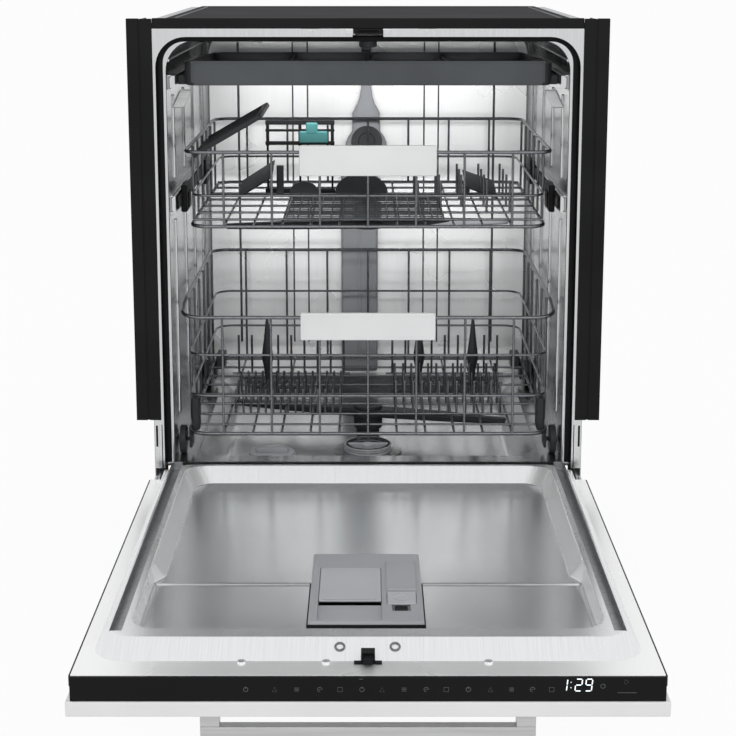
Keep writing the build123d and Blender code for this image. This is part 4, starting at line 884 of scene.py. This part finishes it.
openMarks, closedMarks = [], []
for index, x in enumerate(mark["x"]):
    z, half = mark["middle"], mark["half"]
    left, right, low, high = x - half, x + half, z - half, z + half
    kind = index % 5  # a switch, a triangle, three lines, an open ring, a square
    if kind == 0:
        closedMarks.append(ringMark(x, z, half))
        openMarks.append(onGlass([(x, z + 0.4), (x, high + 1)]))
    elif kind == 1:
        closedMarks.append(onGlass([(left, low), (right, low), (x, high)]))
    elif kind == 2:
        openMarks += [onGlass([(left, z + lift), (right, z + lift)]) for lift in (-1.6, 0, 1.6)]
    elif kind == 3:
        openMarks.append(ringMark(x, z, half, 12, 0.75))
        openMarks.append(onGlass([(x - 1, z), (x + 1, z)]))
    else:
        closedMarks.append(onGlass([(left, low), (right, low), (right, high), (left, high)]))
closedMarks += [ringMark(*mark["ring"]), onGlass(mark["arrow"])]
openMarks += [onGlass(dash) for dash in mark["dashes"]]
marks = joined("touchMarks", [
    wires("openMarks", openMarks, mark["line"], 0), wires("closedMarks", closedMarks, mark["line"], 0, True)
])
done(marks, iconPrint, "door")

clock = {
    "low": 188.5, "high": 201, "width": 6.2, "line": 1.1, "slant": 1.2, "gap": 0.7,
    "digits": ((189, "bc"), (203.5, "abged"), (213.5, "abcfgd")),  # left edge and lit segments
    "colon": (199.2, 199.9), "colonZ": (192, 197.5),
}


def leaning(x, z):
    return x + clock["slant"] * (z - clock["low"]) / (clock["high"] - clock["low"]), z


def digitRuns(left, letters):
    low, high, right = clock["low"], clock["high"], left + clock["width"]
    middle = (low + high) / 2
    ends = {
        "a": (left, high, right, high), "b": (right, high, right, middle), "c": (right, middle, right, low),
        "d": (left, low, right, low), "e": (left, low, left, middle), "f": (left, middle, left, high),
        "g": (left, middle, right, middle),
    }
    runs = []
    for letter in letters:
        x0, z0, x1, z1 = ends[letter]
        along = Vector((x1 - x0, 0, z1 - z0)).normalized() * clock["gap"]
        runs.append(onGlass([leaning(x0 + along.x, z0 + along.z), leaning(x1 - along.x, z1 - along.z)]))
    return runs


clockRuns = [run for left, letters in clock["digits"] for run in digitRuns(left, letters)]
clockRuns += [onGlass([(x, z) for x in clock["colon"]]) for z in clock["colonZ"]]
done(wires("clockDigits", clockRuns, clock["line"], 0), litDigits, "door")
tell("control strip")


# Dispenser: housing, sliding detergent lid, rinse-aid cap

dispenser = {
    "housing": ((-64, 60), (-516, -319), (180, 206), 3, 4),
    "cuts": {
        "lidSlide": ((-54.5, 15), (-510.4, -364.5), (203, 210)),
        "detergentCup": ((-49, 9.5), (-452, -371), (183, 205)),
        "capSeat": ((20.5, 53.5), (-467.5, -432), (202.6, 210)),
        "capNotch": ((26, 46), (-486, -466), (200.5, 210)), "capWell": ((37, -451, 195), 11, 24),
        "fingerSlot": ((-54, 14.5), (-464.5, -458.4), (196, 210)),
    },
    "ridge": ((20, 54), (-432, -346), (204, 208.4), 2.6, 4),
    # black blocks under the housing, along its front and in the finger slot: painted shade for the shadow
    # there
    "paintedShades": {
        "fingerShade": ((-53.9, 14.4), (-464.4, -458.5), (196, 201.6)),
        "seal": ((-66, 62), (-519, -317), (193.4, 197.6)),
        "shadowLip": ((-64.6, 60.6), (-517, -515.6), (197, 203)),
    },
}
housing = block("dispenserHousing", *dispenser["housing"])
for cutter in formed(dispenser["cuts"]):
    cutAway(housing, cutter)
soften(housing, 0.5, segments=2, angle=50)
housingParts = [housing, block("ridge", *dispenser["ridge"])]
fitted("dispenserHousing", housingParts, dispenserPlastic, "door", "dispenser_housing")
done(joined("dispenserShadeBlocks", formed(dispenser["paintedShades"])), blackPlastic, "door")

detergentLid = {
    "lid": ((-54, 14.5), (-458, -365), (203.3, 206.3), 1.2),
    "grip": ((-49, 9.5), (-457, -452.4), (206, 207.6), 0.7),
}
lidField = {"border": 5, "slope": 1.2, "sunk": 0.7}
lidForms = formed(detergentLid)
dish(lidForms[0], (0, 0, 1), **lidField)
fitted("detergentLid", lidForms, lidPlastic, "detergent_lid", "detergent_lid")

rinseAidCap = {
    "cap": ((21, 53), (-467, -434.5), (203.3, 206.3), 1.4), "eye": ((37, -451, 206.2), 9, 1.2),
    "pin": ((37, -434.5, 204.8), 1.5, 32, 0, 3, "X", 20),
}
eyeField = {"border": 2.2, "slope": 0.8, "sunk": 0.6}
capForms = formed(rinseAidCap)
dish(capForms[1], (0, 0, 1), **eyeField)
fitted("rinseAidCap", capForms, lidPlastic, "rinse_aid_cap", "rinse_aid_cap")
capTongue = {"x": (29, 43), "depth": (-485, -467.6), "z": (201, 203.6), "edge": 0.6, "segments": 2}
done(smooth(block("capTongue", **capTongue)), blackPlastic, "door")
tell("dispenser")


# Cutlery tray: a shallow pan with slots, rows of pegs and a lower rim behind its front

tray = {
    "half": 247, "depth": (40, 468), "levels": (727, 731, 757.5), "corner": 16, "taper": 0.992,
    "sheet": 0.0024, "slotX": (-177, -59, 59, 177), "slotRows": (-2.5, -1.5, -0.5, 0.5, 1.5, 2.5),
    "slotPitch": 66, "slotHalf": (50, 25), "slotZ": (724, 732), "middle": 254,
    "rearFrom": 60, "rearDrop": -12,
    "dividers": (-118, 0, 118), "divider": (1.2, (43, 465), (728, 741), 0.6, 2),
    "slats": (-218, 218, 37), "slat": (0.8, (44, 464), (727.6, 729.4)),
    "pegs": (66, 442, 18), "peg": (1, 9), "pegZ": (729, 738),
    "runner": (245.6, 256.6, (60, 454), (727, 739), 1, 2),
    "frontLip": ((-238, 238), (39.4, 43), (756.2, 760), 1.4), "frontTo": 41.4,
}
low, wall, top = tray["levels"]
pan = roundRect("cutleryTray", around(0, tray["half"]), tray["depth"], low, tray["corner"])
pickAll(pan)
for level in (wall, top):
    ringTo(tray["half"], tray["depth"], level)
leave()
openUp(pan, lambda face: face.normal.z > 0.9 and spot(face).z > top - 0.5)
pick(pan, lambda vert: spot(vert).z < low + 0.5, "VERT")
stretch((tray["taper"], tray["taper"], 1), (0, tray["middle"], low))
leave()
finishBy(pan, "SOLIDIFY", thickness=tray["sheet"], offset=-1)
halfX, halfDepth = tray["slotHalf"]
slots = []
for x in tray["slotX"]:
    for row in tray["slotRows"]:
        depth = around(tray["middle"] + row * tray["slotPitch"], halfDepth)
        slots.append(block("traySlot", around(x, halfX), depth, tray["slotZ"]))
cutAway(pan, joined("traySlots", slots))
pick(pan, lambda vert: spot(vert).z > 750 and spot(vert).y > tray["rearFrom"], "VERT")
shift(z=tray["rearDrop"])
leave()
trayParts = [soften(pan, 0.8, segments=3, angle=40)] + pair("trayRunner", *tray["runner"])
trayParts.append(block("trayFrontLip", *tray["frontLip"]))
half, *measures = tray["divider"]
trayParts += [block("trayDivider", around(x, half), *measures) for x in tray["dividers"]]
half, *measures = tray["slat"]
for x in spread(*tray["slats"]):
    if min(abs(x - divider) for divider in tray["dividers"]) > 3:
        trayParts.append(block("traySlat", around(x, half), *measures))
near, far = tray["peg"]
for x in tray["dividers"]:
    for place in spread(*tray["pegs"]):
        for span in ((x - far, x - near), (x + near, x + far)):
            trayParts.append(block("trayPeg", span, around(place, 1), tray["pegZ"]))
trayWhole = fitted("cutleryTray", trayParts, trayPlastic, "cutlery_tray", "cutlery_tray")
# the tray behind its front takes the darker grey: painted shade for the shadow under the tub's roof
repaint(trayWhole, darkPlastic, lambda face: face.center.y > at(0, tray["frontTo"], 0).y)
tell("cutlery tray")


# Water channel on the back wall, its bottle-shaped riser and the top sprinkler

waterChannel = {
    "channel": ((-44, 16), (481.8, 497.6), (214, 590), 5, 5),
    "seam": ((-17, -11), (480.8, 484), (236, 560), 1.4),
    "shoulder": ((-37, 31), (480, 497.6), (566, 594), 5, 4),
    "dock": ((-2, 480.6, 520), 14, 5, 1.5, 3, "Y", 32),
    "lowCollar": ((-2, 488.4, 700), 9.5, 5, 1.2, 3, "Z", 28),
    "highCollar": ((-2, 488.4, 760), 9.5, 5, 1.2, 3, "Z", 28),
}
riserShape = {
    "foot": ((-3, 488.4, 592), 33.5, 8, 32), "flat": 0.28,
    "rings": (
        (33, 598), (29.5, 607), (23, 616), (22.4, 630), (22, 646), (18, 654), (14, 661), (10.5, 672),
        (8.4, 686), (7.6, 702), (7.4, 778),
    ),
}
riser = lathe("riser", *riserShape["foot"], riserShape["rings"])
pickAll(riser)
stretch((1, riserShape["flat"], 1), riserShape["foot"][0])
leave()
waterPath = joined("waterChannel", formed(waterChannel) + [riser])
done(smooth(waterPath, angle=40), greyPlastic, "cabinet", "water_channel")

raisedDock = {"form": ((-2, 478.2, 601), 25, 5.4, 2, 4, "Y", 40), "mouth": (9, 1.2, 2.4)}
dock = dish(drum("raisedDock", *raisedDock["form"]), (0, -1, 0), *raisedDock["mouth"])
done(smooth(dock), darkPlastic, "cabinet")

topSprinkler = {
    "disc": ((0, 245, 783.8), 26, 5.8, 1.6), "nose": ((0, 245, 773.6), 13, 15.2, 2.4, 4, "Z", 32),
    "pipe": ((-9, 9), (245, 486), (779.2, 786.6), 3, 4),
}
fitted("topSprinkler", formed(topSprinkler), greyPlastic, "cabinet", "top_sprinkler")


# Spray arms and the feed pipe of the upper one

sprayArm = {
    "reach": 212, "middle": 245, "thick": 12, "cuts": (-120, -40, 40, 120), "edge": 4,
    "tip": (1, 0.55, 0.62), "shank": (1, 0.86, 0.9), "hub": (11.4, 2.5, 3, "Z", 40),
    "nozzles": ((70, 7), (130, 7), (182, 6)), "nozzle": ((242.5, 247.5), (-2, 1.6), (1.2, 2)),
    "top": 10.4, "fall": 1 / 40, "fallFrom": 40,  # the arm's top falls towards its ends
    "lower": {"z": 209, "half": 15, "hub": 27, "turn": 14},  # turned as in the picture, in degrees
    "upper": {"z": 499, "half": 13, "hub": 24, "turn": -6},
    "lowerHub": ((0, 245, 208), 22, 36, 3, 4, "Z", 40),
}
for level in ("lower", "upper"):
    size = sprayArm[level]
    z, middle, reach = size["z"], sprayArm["middle"], sprayArm["reach"]
    core = (0, middle, z + 5)  # the point that the ends are pressed towards
    arm = block(level + "Arm", (-reach, reach), around(middle, size["half"]), (z, z + sprayArm["thick"]))
    pickAll(arm)
    for x in sprayArm["cuts"]:
        bpy.ops.mesh.bisect(plane_co=at(x, middle, z), plane_no=(1, 0, 0))
        bpy.ops.mesh.select_all(action="SELECT")
    pick(arm, lambda vert: abs(spot(vert).x) > 200, "VERT")
    stretch(sprayArm["tip"], core)
    pick(arm, lambda vert: 100 < abs(spot(vert).x) < 150, "VERT")
    stretch(sprayArm["shank"], core)
    leave()
    armParts = [soften(arm, sprayArm["edge"], segments=4, angle=20)]
    armParts.append(drum("armHub", (0, middle, z + 6), size["hub"], *sprayArm["hub"]))
    depth, reaches, edge = sprayArm["nozzle"]
    for x, half in sprayArm["nozzles"]:
        top = z + sprayArm["top"] - (x - sprayArm["fallFrom"]) * sprayArm["fall"]
        armParts += pair("nozzle", x - half, x + half, depth, [top + reach for reach in reaches], *edge)
    arm = turned(joined(level + "SprayArm", armParts), size["turn"], "Z", (0, middle, z))
    if level == "lower":
        arm = joined("lowerSprayArm", [arm, drum("lowerHub", *sprayArm["lowerHub"])])
    node = level + "_spray_arm"
    done(smooth(arm), darkPlastic, node, node)

upperFeed = {
    "pipe": ((-11, 11), (231, 478.4), (514, 530), 5, 5),
    "drum": ((0, 245, 524.8), 20, 21.6, 2.4, 3, "Z", 40),
    "neck": ((0, 245, 510), 9, 12, 0, 3, "Z", 32),
    "mouth": ((0, 474, 522), 12.5, 8, 1.5, 3, "Y", 32),
}
fitted("upperFeed", formed(upperFeed), greyPlastic, "upper_basket", "upper_feed")
tell("water parts")


# Filter and salt cap in the floor of the tub

filterShape = {
    "middle": (0, 164), "bore": (29, 24, 0, 3, "Z", 64), "boreZ": 185,
    "rings": ((181.4, 35), (184.8, 34.2), (188.2, 35)), "ring": (2.4, 0.9, 3, "Z", 64),
    "core": ((0, 164, 184.6), 32.4, 9.6, 0, 3, "Z", 64),
    "rib": ((-1.1, 1.1), (193, 197.4), (180.5, 189.4)), "ribs": 12,
    "flange": ((0, 164, 179.2), 50, 1.8, 0.6, 2, "Z", 64),
    "inner": {
        "sieve": ((0, 164, 181.2), 28.8, 0.8, 0, 3, "Z", 64),
        "grip": ((-30, 30), (161.4, 166.6), (182, 190), 1.4),
        "hub": ((0, 164, 185), 9, 8.4, 1.4, 3, "Z", 32),
    },
}
collar = drum("filterFlange", *filterShape["flange"])
filterRings = [
    drum("filterRing", (*filterShape["middle"], z), radius, *filterShape["ring"])
    for z, radius in filterShape["rings"]
]
core = drum("filterCore", *filterShape["core"])
cup = joined("filterCup", filterRings)
centre = (*filterShape["middle"], filterShape["boreZ"])
for part in (core, cup):
    cutAway(part, drum("filterBore", centre, *filterShape["bore"]))
done(smooth(core), darkPlastic, "filter")
count = filterShape["ribs"]
ribs = [turned(block("rib", *filterShape["rib"]), turn * 360 / count, "Z", centre) for turn in range(count)]
fitted("filterCup", [cup] + ribs + formed(filterShape["inner"]), lidPlastic, "filter", "filter")
done(smooth(collar), tubSteel, "filter")

saltCap = {
    "disc": ((-140, 130, 184), 33, 8, 1.6), "dish": (6, 1.2, 1.4),
    "grip": ((-163, -117), (127, 133), (186, 193), 1.6), "knurl": (1.3, 5, 0, 3, "Z", 8), "knurls": 24,
}
(x, depth, z), radius = saltCap["disc"][:2]
capParts = [dish(drum("saltCap", *saltCap["disc"]), (0, 0, 1), *saltCap["dish"])]
capParts.append(block("saltGrip", *saltCap["grip"]))
for a, b in circle(radius, saltCap["knurls"]):
    capParts.append(drum("knurl", (x + a, depth + b, z), *saltCap["knurl"]))
fitted("saltCap", capParts, lidPlastic, "salt_cap", "salt_cap")


# Lower basket's plastic: wheel brackets with axles, front holders, tall spindle spikes and wheels

fitting = {
    "axles": (62, 428), "z": 228.2, "bracket": (246.4, 250.4), "bracketHalf": 15, "bracketZ": (219, 243.4),
    "axle": (3, 17, 0, 3, "X", 24), "axleX": 257, "cap": (5, 1.8, 0.6, 2, "X", 24), "capX": 265.4,
    "holders": {
        "front": (236, 247, (50, 74), (243, 291), 3, 4), "rear": (232, 246.6, (412, 444), (236, 262), 3, 4),
    },
}
spike = {
    "x": (-154, 78, 160), "depth": 271.1, "z": 254.5, "foot": (3.2, 7, 20),
    "rings": ((3.6, 262), (6, 278), (9, 292), (7.4, 306), (5, 324), (3.2, 342), (1.6, 357)),
    "plate": (9, (263, 279), (251, 255), 1.2, 2),
}
fitParts = mirrored(fitting["holders"])
for depth in fitting["axles"]:
    span = around(depth, fitting["bracketHalf"])
    fitParts += pair("wheelBracket", *fitting["bracket"], span, fitting["bracketZ"], 1.6)
    for side in (-1, 1):
        fitParts.append(drum("wheelAxle", (side * fitting["axleX"], depth, fitting["z"]), *fitting["axle"]))
        fitParts.append(drum("axleCap", (side * fitting["capX"], depth, fitting["z"]), *fitting["cap"]))
half, *measures = spike["plate"]
for x in spike["x"]:
    fitParts.append(block("spikeFoot", around(x, half), *measures))
    fitParts.append(lathe("spike", (x, spike["depth"], spike["z"]), *spike["foot"], spike["rings"]))
fittings = smooth(joined("lowerFittings", fitParts), angle=40)
done(fittings, darkPlastic, "lower_basket", "lower_basket_fittings")

wheel = {
    "tyre": (259.8, 20, 8.6, 1.2, 3, "X", 48), "dish": (264.6, 15.6, 6, 0, 3, "X", 48),
    "bore": (260, 3.3, 20, 0, 3, "X", 24), "hub": (261, 7, 5.6, 0, 3, "X", 32),
    "spoke": (260, 263), "spokeHalf": 1.2, "spokeZ": (233.2, 244.2), "spokes": 5,
    "places": {
        "wheel_front_left": (-1, 62), "wheel_front_right": (1, 62),
        "wheel_rear_left": (-1, 428), "wheel_rear_right": (1, 428),
    },
}
for node, (side, depth) in wheel["places"].items():
    forms = {
        part: drum(part, (side * wheel[part][0], depth, fitting["z"]), *wheel[part][1:])
        for part in ("tyre", "dish", "bore", "hub")
    }
    cutAway(forms["tyre"], forms["dish"])
    finishBy(forms["tyre"], "BOOLEAN", operation="DIFFERENCE", object=forms["bore"], solver="EXACT")
    cutAway(forms["hub"], forms["bore"])
    wheelParts = [forms["tyre"], soften(forms["hub"], 0.6, segments=2)]
    for turn in range(wheel["spokes"]):
        width = across(side, *wheel["spoke"])
        spoke = block("spoke", width, around(depth, wheel["spokeHalf"]), wheel["spokeZ"])
        degrees = turn * 360 / wheel["spokes"]
        wheelParts.append(turned(spoke, degrees, "X", (0, depth, fitting["z"])))
    fitted(node + "_wheel", wheelParts, darkPlastic, node, node)
tell("filter, salt cap, lower fittings, wheels")


# Upper basket's plastic: cup shelf, stem holder with soft grips, glass rests, height adjusters

shelf = {
    "plate": ((-236, -133.5), (70, 246), (627.6, 630.2), 0.8), "turn": 30,
    "gap": (-226, -211), "gapPitch": 22, "gaps": 4, "gapDepth": (88, 228), "gapZ": (620, 640),
    "ribs": (88, 228, 8), "ribX": (-228, -138), "ribHalf": 1.4, "rib": ((629.6, 633.4), 0.8, 2),
    "frame": {
        "edge": ((-139, -131), (70, 246), (626.6, 633.8), 2),
        "front": ((-234, -133), (68.6, 73), (627, 634), 1.2),
        "rear": ((-234, -133), (243, 247.4), (627, 634), 1.2),
        "pivot": ((-237.1, 158, 629), 3.2, 176, 0, 3, "Y", 24),
    },
}
shelfPlate = block("cupShelf", *shelf["plate"])
gaps = []
for step in range(shelf["gaps"]):
    span = [x + step * shelf["gapPitch"] for x in shelf["gap"]]
    gaps.append(block("shelfGap", span, shelf["gapDepth"], shelf["gapZ"]))
cutAway(shelfPlate, joined("shelfGaps", gaps))
shelfParts = [shelfPlate] + formed(shelf["frame"])
for place in spread(*shelf["ribs"]):
    shelfParts.append(block("rib", shelf["ribX"], around(place, shelf["ribHalf"]), *shelf["rib"]))
shelfWhole = joined("cupShelf", shelfParts)
turned(shelfWhole, shelf["turn"], "Y", shelf["frame"]["pivot"][0])
done(smooth(shelfWhole), darkPlastic, "cup_shelf", "cup_shelf")

stemHolder = {
    "pivot": ((-103, 305.3, 545.7), 3.1, 106, 0, 3, "X", 24), "posts": (-152, -103, -54),
    "post": (1.6, (303.6, 307), (547, 618), 0.8, 2), "postTop": (2.4, (303, 307.6), (614, 652), 1),
    "bars": ((615.6, 621.2), (636, 639.6), (646.4, 653)), "bar": ((-155.4, -50.6), (302.6, 308)),
    "edge": 1.2,
}
stemGrips = {
    "grip": ((-104, -61), (299.6, 305), (618.4, 637), 2.4, 4),
    "top": ((-94, -76), (299.2, 304), (632, 650), 2.4, 4),
}
holderParts = [drum("pivot", *stemHolder["pivot"])]
for x in stemHolder["posts"]:
    for half, *measures in (stemHolder["post"], stemHolder["postTop"]):
        holderParts.append(block("holderPost", around(x, half), *measures))
holderParts += [block("holderBar", *stemHolder["bar"], z, stemHolder["edge"]) for z in stemHolder["bars"]]
fitted("stemHolder", holderParts, blackPlastic, "stem_holder", "stem_holder")
fitted("stemGrips", formed(stemGrips), gripRubber, "stem_holder")

rests = {
    "flaps": (((-192, -141), 0.1, 32.6), ((143, 191), 17.6, 0.6)),  # x, and the lift of its two ends
    "flap": ((226, 300), (544, 546.4)), "rearFrom": 270, "rearLift": 15,
    "posts": ((-133, 586), (149, 563)), "postHalf": 5.4, "postDepth": (290, 297), "postLow": 542.4,
    "domes": ((-10, 40, 0.76), (-97, 22, 0.8)), "domeSpot": (296, 543.4), "domeThick": 3.4,
}
restParts = []
for span, leftLift, rightLift in rests["flaps"]:
    middle = sum(span) / 2
    flap = block("glassFlap", span, *rests["flap"])
    pick(flap, lambda vert: spot(vert).y > rests["rearFrom"], "VERT")
    shift(z=rests["rearLift"])
    pick(flap, lambda vert: spot(vert).x > middle, "VERT")
    shift(z=rightLift)
    pick(flap, lambda vert: spot(vert).x < middle, "VERT")
    shift(z=leftLift)
    leave()
    restParts.append(soften(flap, 0.8, segments=2))
for x, top in rests["posts"]:
    post = around(x, rests["postHalf"])
    restParts.append(block("restPost", post, rests["postDepth"], (rests["postLow"], top), 1.6))
for x, radius, squash in rests["domes"]:  # half discs: the lower half is pressed flat
    centre = (x, *rests["domeSpot"])
    dome = drum("restDome", centre, radius, rests["domeThick"], axis="Y")
    pick(dome, lambda vert: spot(vert).z < centre[2], "VERT")
    stretch((1, 1, 0), centre)
    pickAll(dome)
    stretch((1, 1, squash), centre)
    leave()
    restParts.append(dome)
fitted("upperRests", restParts, darkPlastic, "upper_basket")

mat = {
    "half": 0.9, "bars": (-112, 104, 15), "bar": ((60, 276), (543.2, 545)),
    "crossBars": (60, 276, 15), "crossX": (-113, 105), "crossZ": (543, 544.8),
}
matParts = [block("bar", around(x, mat["half"]), *mat["bar"]) for x in spread(*mat["bars"])]
for place in spread(*mat["crossBars"]):
    matParts.append(block("bar", mat["crossX"], around(place, mat["half"]), mat["crossZ"]))
fitted("upperRestMat", matParts, trayPlastic, "upper_basket")

carrier = {
    "plate": (257, 259.2, (40, 450), (559, 577), 0.6, 2), "places": (110, 380),
    "clip": (250.4, 259.2), "clipHalf": 26, "clipForm": ((548, 586), 2.4, 4),
    "lever": (248.6, 251), "leverHalf": 14, "leverForm": ((553, 575), 1),
    "roll": (5, 2.2, 0.6, 2, "X", 24), "rollX": 258, "rollZ": 582,
}
carrierParts = pair("carrierPlate", *carrier["plate"])
for depth in carrier["places"]:
    clipDepth, leverDepth = around(depth, carrier["clipHalf"]), around(depth, carrier["leverHalf"])
    carrierParts += pair("carrierClip", *carrier["clip"], clipDepth, *carrier["clipForm"])
    carrierParts += pair("carrierLever", *carrier["lever"], leverDepth, *carrier["leverForm"])
    for side in (-1, 1):
        centre = (side * carrier["rollX"], depth, carrier["rollZ"])
        carrierParts.append(drum("carrierRoll", centre, *carrier["roll"]))
fitted("upperCarriers", carrierParts, blackPlastic, "upper_carriers", "upper_carriers")
tell("upper basket's plastic")


# Mouth details: striker plate, bracket screws, rail ends, sill seal, hinge strips

strikerPlate = {
    "plate": ((-29, 29), (-0.9, 0.2), (796.6, 804), 0.5, 2), "gap": ((-17, 20.4), (-3, 3), (795, 803)),
    "screws": (-75, 78), "padHalf": 9, "pad": ((-1.1, 0.6), (797, 803.4), 0.6),
    "screw": (2.4, 1, 0.3, 2, "Y", 20), "screwSpot": (-1.1, 800.2),
}
plates = [block("strikerPlate", *strikerPlate["plate"])]
cutAway(plates[0], block("strikerGap", *strikerPlate["gap"]))
for x in strikerPlate["screws"]:
    plates.append(block("bracketPad", around(x, strikerPlate["padHalf"]), *strikerPlate["pad"]))
    plates.append(drum("bracketScrew", (x, *strikerPlate["screwSpot"]), *strikerPlate["screw"]))
fitted("mouthPlates", plates, tubSteel, "cabinet")

railEnd = {
    "levels": (732, 568), "end": (264.8, 266.8, (22, 25.6)), "half": 9, "edge": 1.4,
    "clip": (246, 262, (30, 36), (698, 721), 2), "bentFrom": 711, "bend": (8, 12),
}
railEnds = []
for level in railEnd["levels"]:
    railEnds += pair("railEnd", *railEnd["end"], around(level, railEnd["half"]), railEnd["edge"])
inward, back = railEnd["bend"]
for side, clip in zip((-1, 1), pair("railClip", *railEnd["clip"])):
    pick(clip, lambda vert: spot(vert).z > railEnd["bentFrom"], "VERT")
    shift(-side * inward, back)
    leave()
    railEnds.append(clip)
fitted("railEnds", railEnds, barSteel, "cabinet")

sillSeal = {
    "strip": ((-263, 263), (17.4, 20), (182, 202), 0.8), "lip": [(-262, 16.6, 203), (262, 16.6, 203)],
    "thickness": 4.2,
}
sealLip = wires("lip", [sillSeal["lip"]], sillSeal["thickness"], smoothness=3)
fitted("sillSeal", [block("strip", *sillSeal["strip"]), sealLip], rubber, "cabinet", "sill_seal")

hingeBoot = {
    "boot": (280.4, 283.6, (-0.2, 6), (206, 268), 1), "slot": (287.6, 290.4, (-0.6, 0.4), (236, 266), 0.4, 2),
}
fitted("hingeBoots", mirrored(hingeBoot), blackPlastic, "cabinet")
tell("mouth details")


# Floor, backdrop and light


def lookedAt(tree):  # one where the camera, a mirror or glass looks, and nought where light falls
    rays = addNode(tree, "ShaderNodeLightPath").outputs
    larger = {"operation": "MAXIMUM"}
    seen = addNode(tree, "ShaderNodeMath", larger, i0=rays["Is Camera Ray"], i1=rays["Is Glossy Ray"])
    return addNode(
        tree, "ShaderNodeMath", larger, i0=seen.outputs[0], i1=rays["Is Transmission Ray"]
    ).outputs[0]


studio = {
    "floorSize": 160, "floor": "#f2f2f2", "floorRough": 0.9, "floorGlow": 0.93,  # the size is in metres
    "white": "#ffffff", "roomLight": 0.72,
}
rest()
bpy.ops.mesh.primitive_plane_add(size=studio["floorSize"], location=(0, 0, 0))
ground = bpy.context.object
ground.name = "studioFloor"
# matt white studio paper: it glows for the camera and still takes the object's shadow
groundMaterial, tree, shader, place = newMaterial("paleStudioFloor")
shader.inputs["Base Color"].default_value = colour(studio["floor"])
shader.inputs["Roughness"].default_value = studio["floorRough"]
share = addNode(tree, "ShaderNodeMath", {"operation": "MULTIPLY"}, i0=lookedAt(tree), i1=studio["floorGlow"])
glow = addNode(tree, "ShaderNodeEmission", Color=colour(studio["white"]), Strength=1.0)
blend = addNode(tree, "ShaderNodeMixShader", i0=share.outputs[0], i1=shader.outputs[0], i2=glow.outputs[0])
tree.links.new(blend.outputs[0], tree.nodes["Material Output"].inputs["Surface"])
ground.data.materials.append(groundMaterial)

world = bpy.data.worlds.new("whiteStudio")
bpy.context.scene.world = world
world.use_nodes = True
tree = world.node_tree
soft = addNode(
    tree, "ShaderNodeBackground", Color=colour(studio["white"]), Strength=studio["roomLight"]
)
white = addNode(tree, "ShaderNodeBackground", Color=colour(studio["white"]), Strength=1.0)
blend = addNode(tree, "ShaderNodeMixShader", i0=lookedAt(tree), i1=soft.outputs[0], i2=white.outputs[0])
tree.links.new(blend.outputs[0], tree.nodes["World Output"].inputs["Surface"])


def softbox(name, place, aim, size, power, inMirrors=True):
    lamp = bpy.data.lights.new(name, "AREA")
    lamp.shape = "RECTANGLE"
    lamp.size, lamp.size_y = size
    lamp.energy = power
    holder = bpy.data.objects.new(name, lamp)
    bpy.context.collection.objects.link(holder)
    holder.location = place
    holder.rotation_euler = (Vector(aim) - Vector(place)).to_track_quat("-Z", "Y").to_euler()
    holder.visible_glossy = inMirrors


# name: place, aim, size in metres and watts; the last two are fills that light the dull plastic deep
# in the tub and don't show in its steel
lamps = {
    "frontBox": ((0, -2.6, 1.9), (0, 0.1, 0.4), (2.2, 1.4), 15),
    "leftBox": ((-2.2, -1.2, 1.6), (0, 0, 0.4), (1.2, 1.6), 8),
    "rightBox": ((2.2, -1.2, 1.6), (0, 0, 0.4), (1.2, 1.6), 8),
    "tubFill": (at(0, 270, 700), at(0, 498, 610), (0.44, 0.05), 1.3, False),
    "lowerFill": (at(0, 240, 500), at(0, 470, 300), (0.42, 0.05), 0.9, False),
}
for name, settings in lamps.items():
    softbox(name, *settings)
tell("studio")
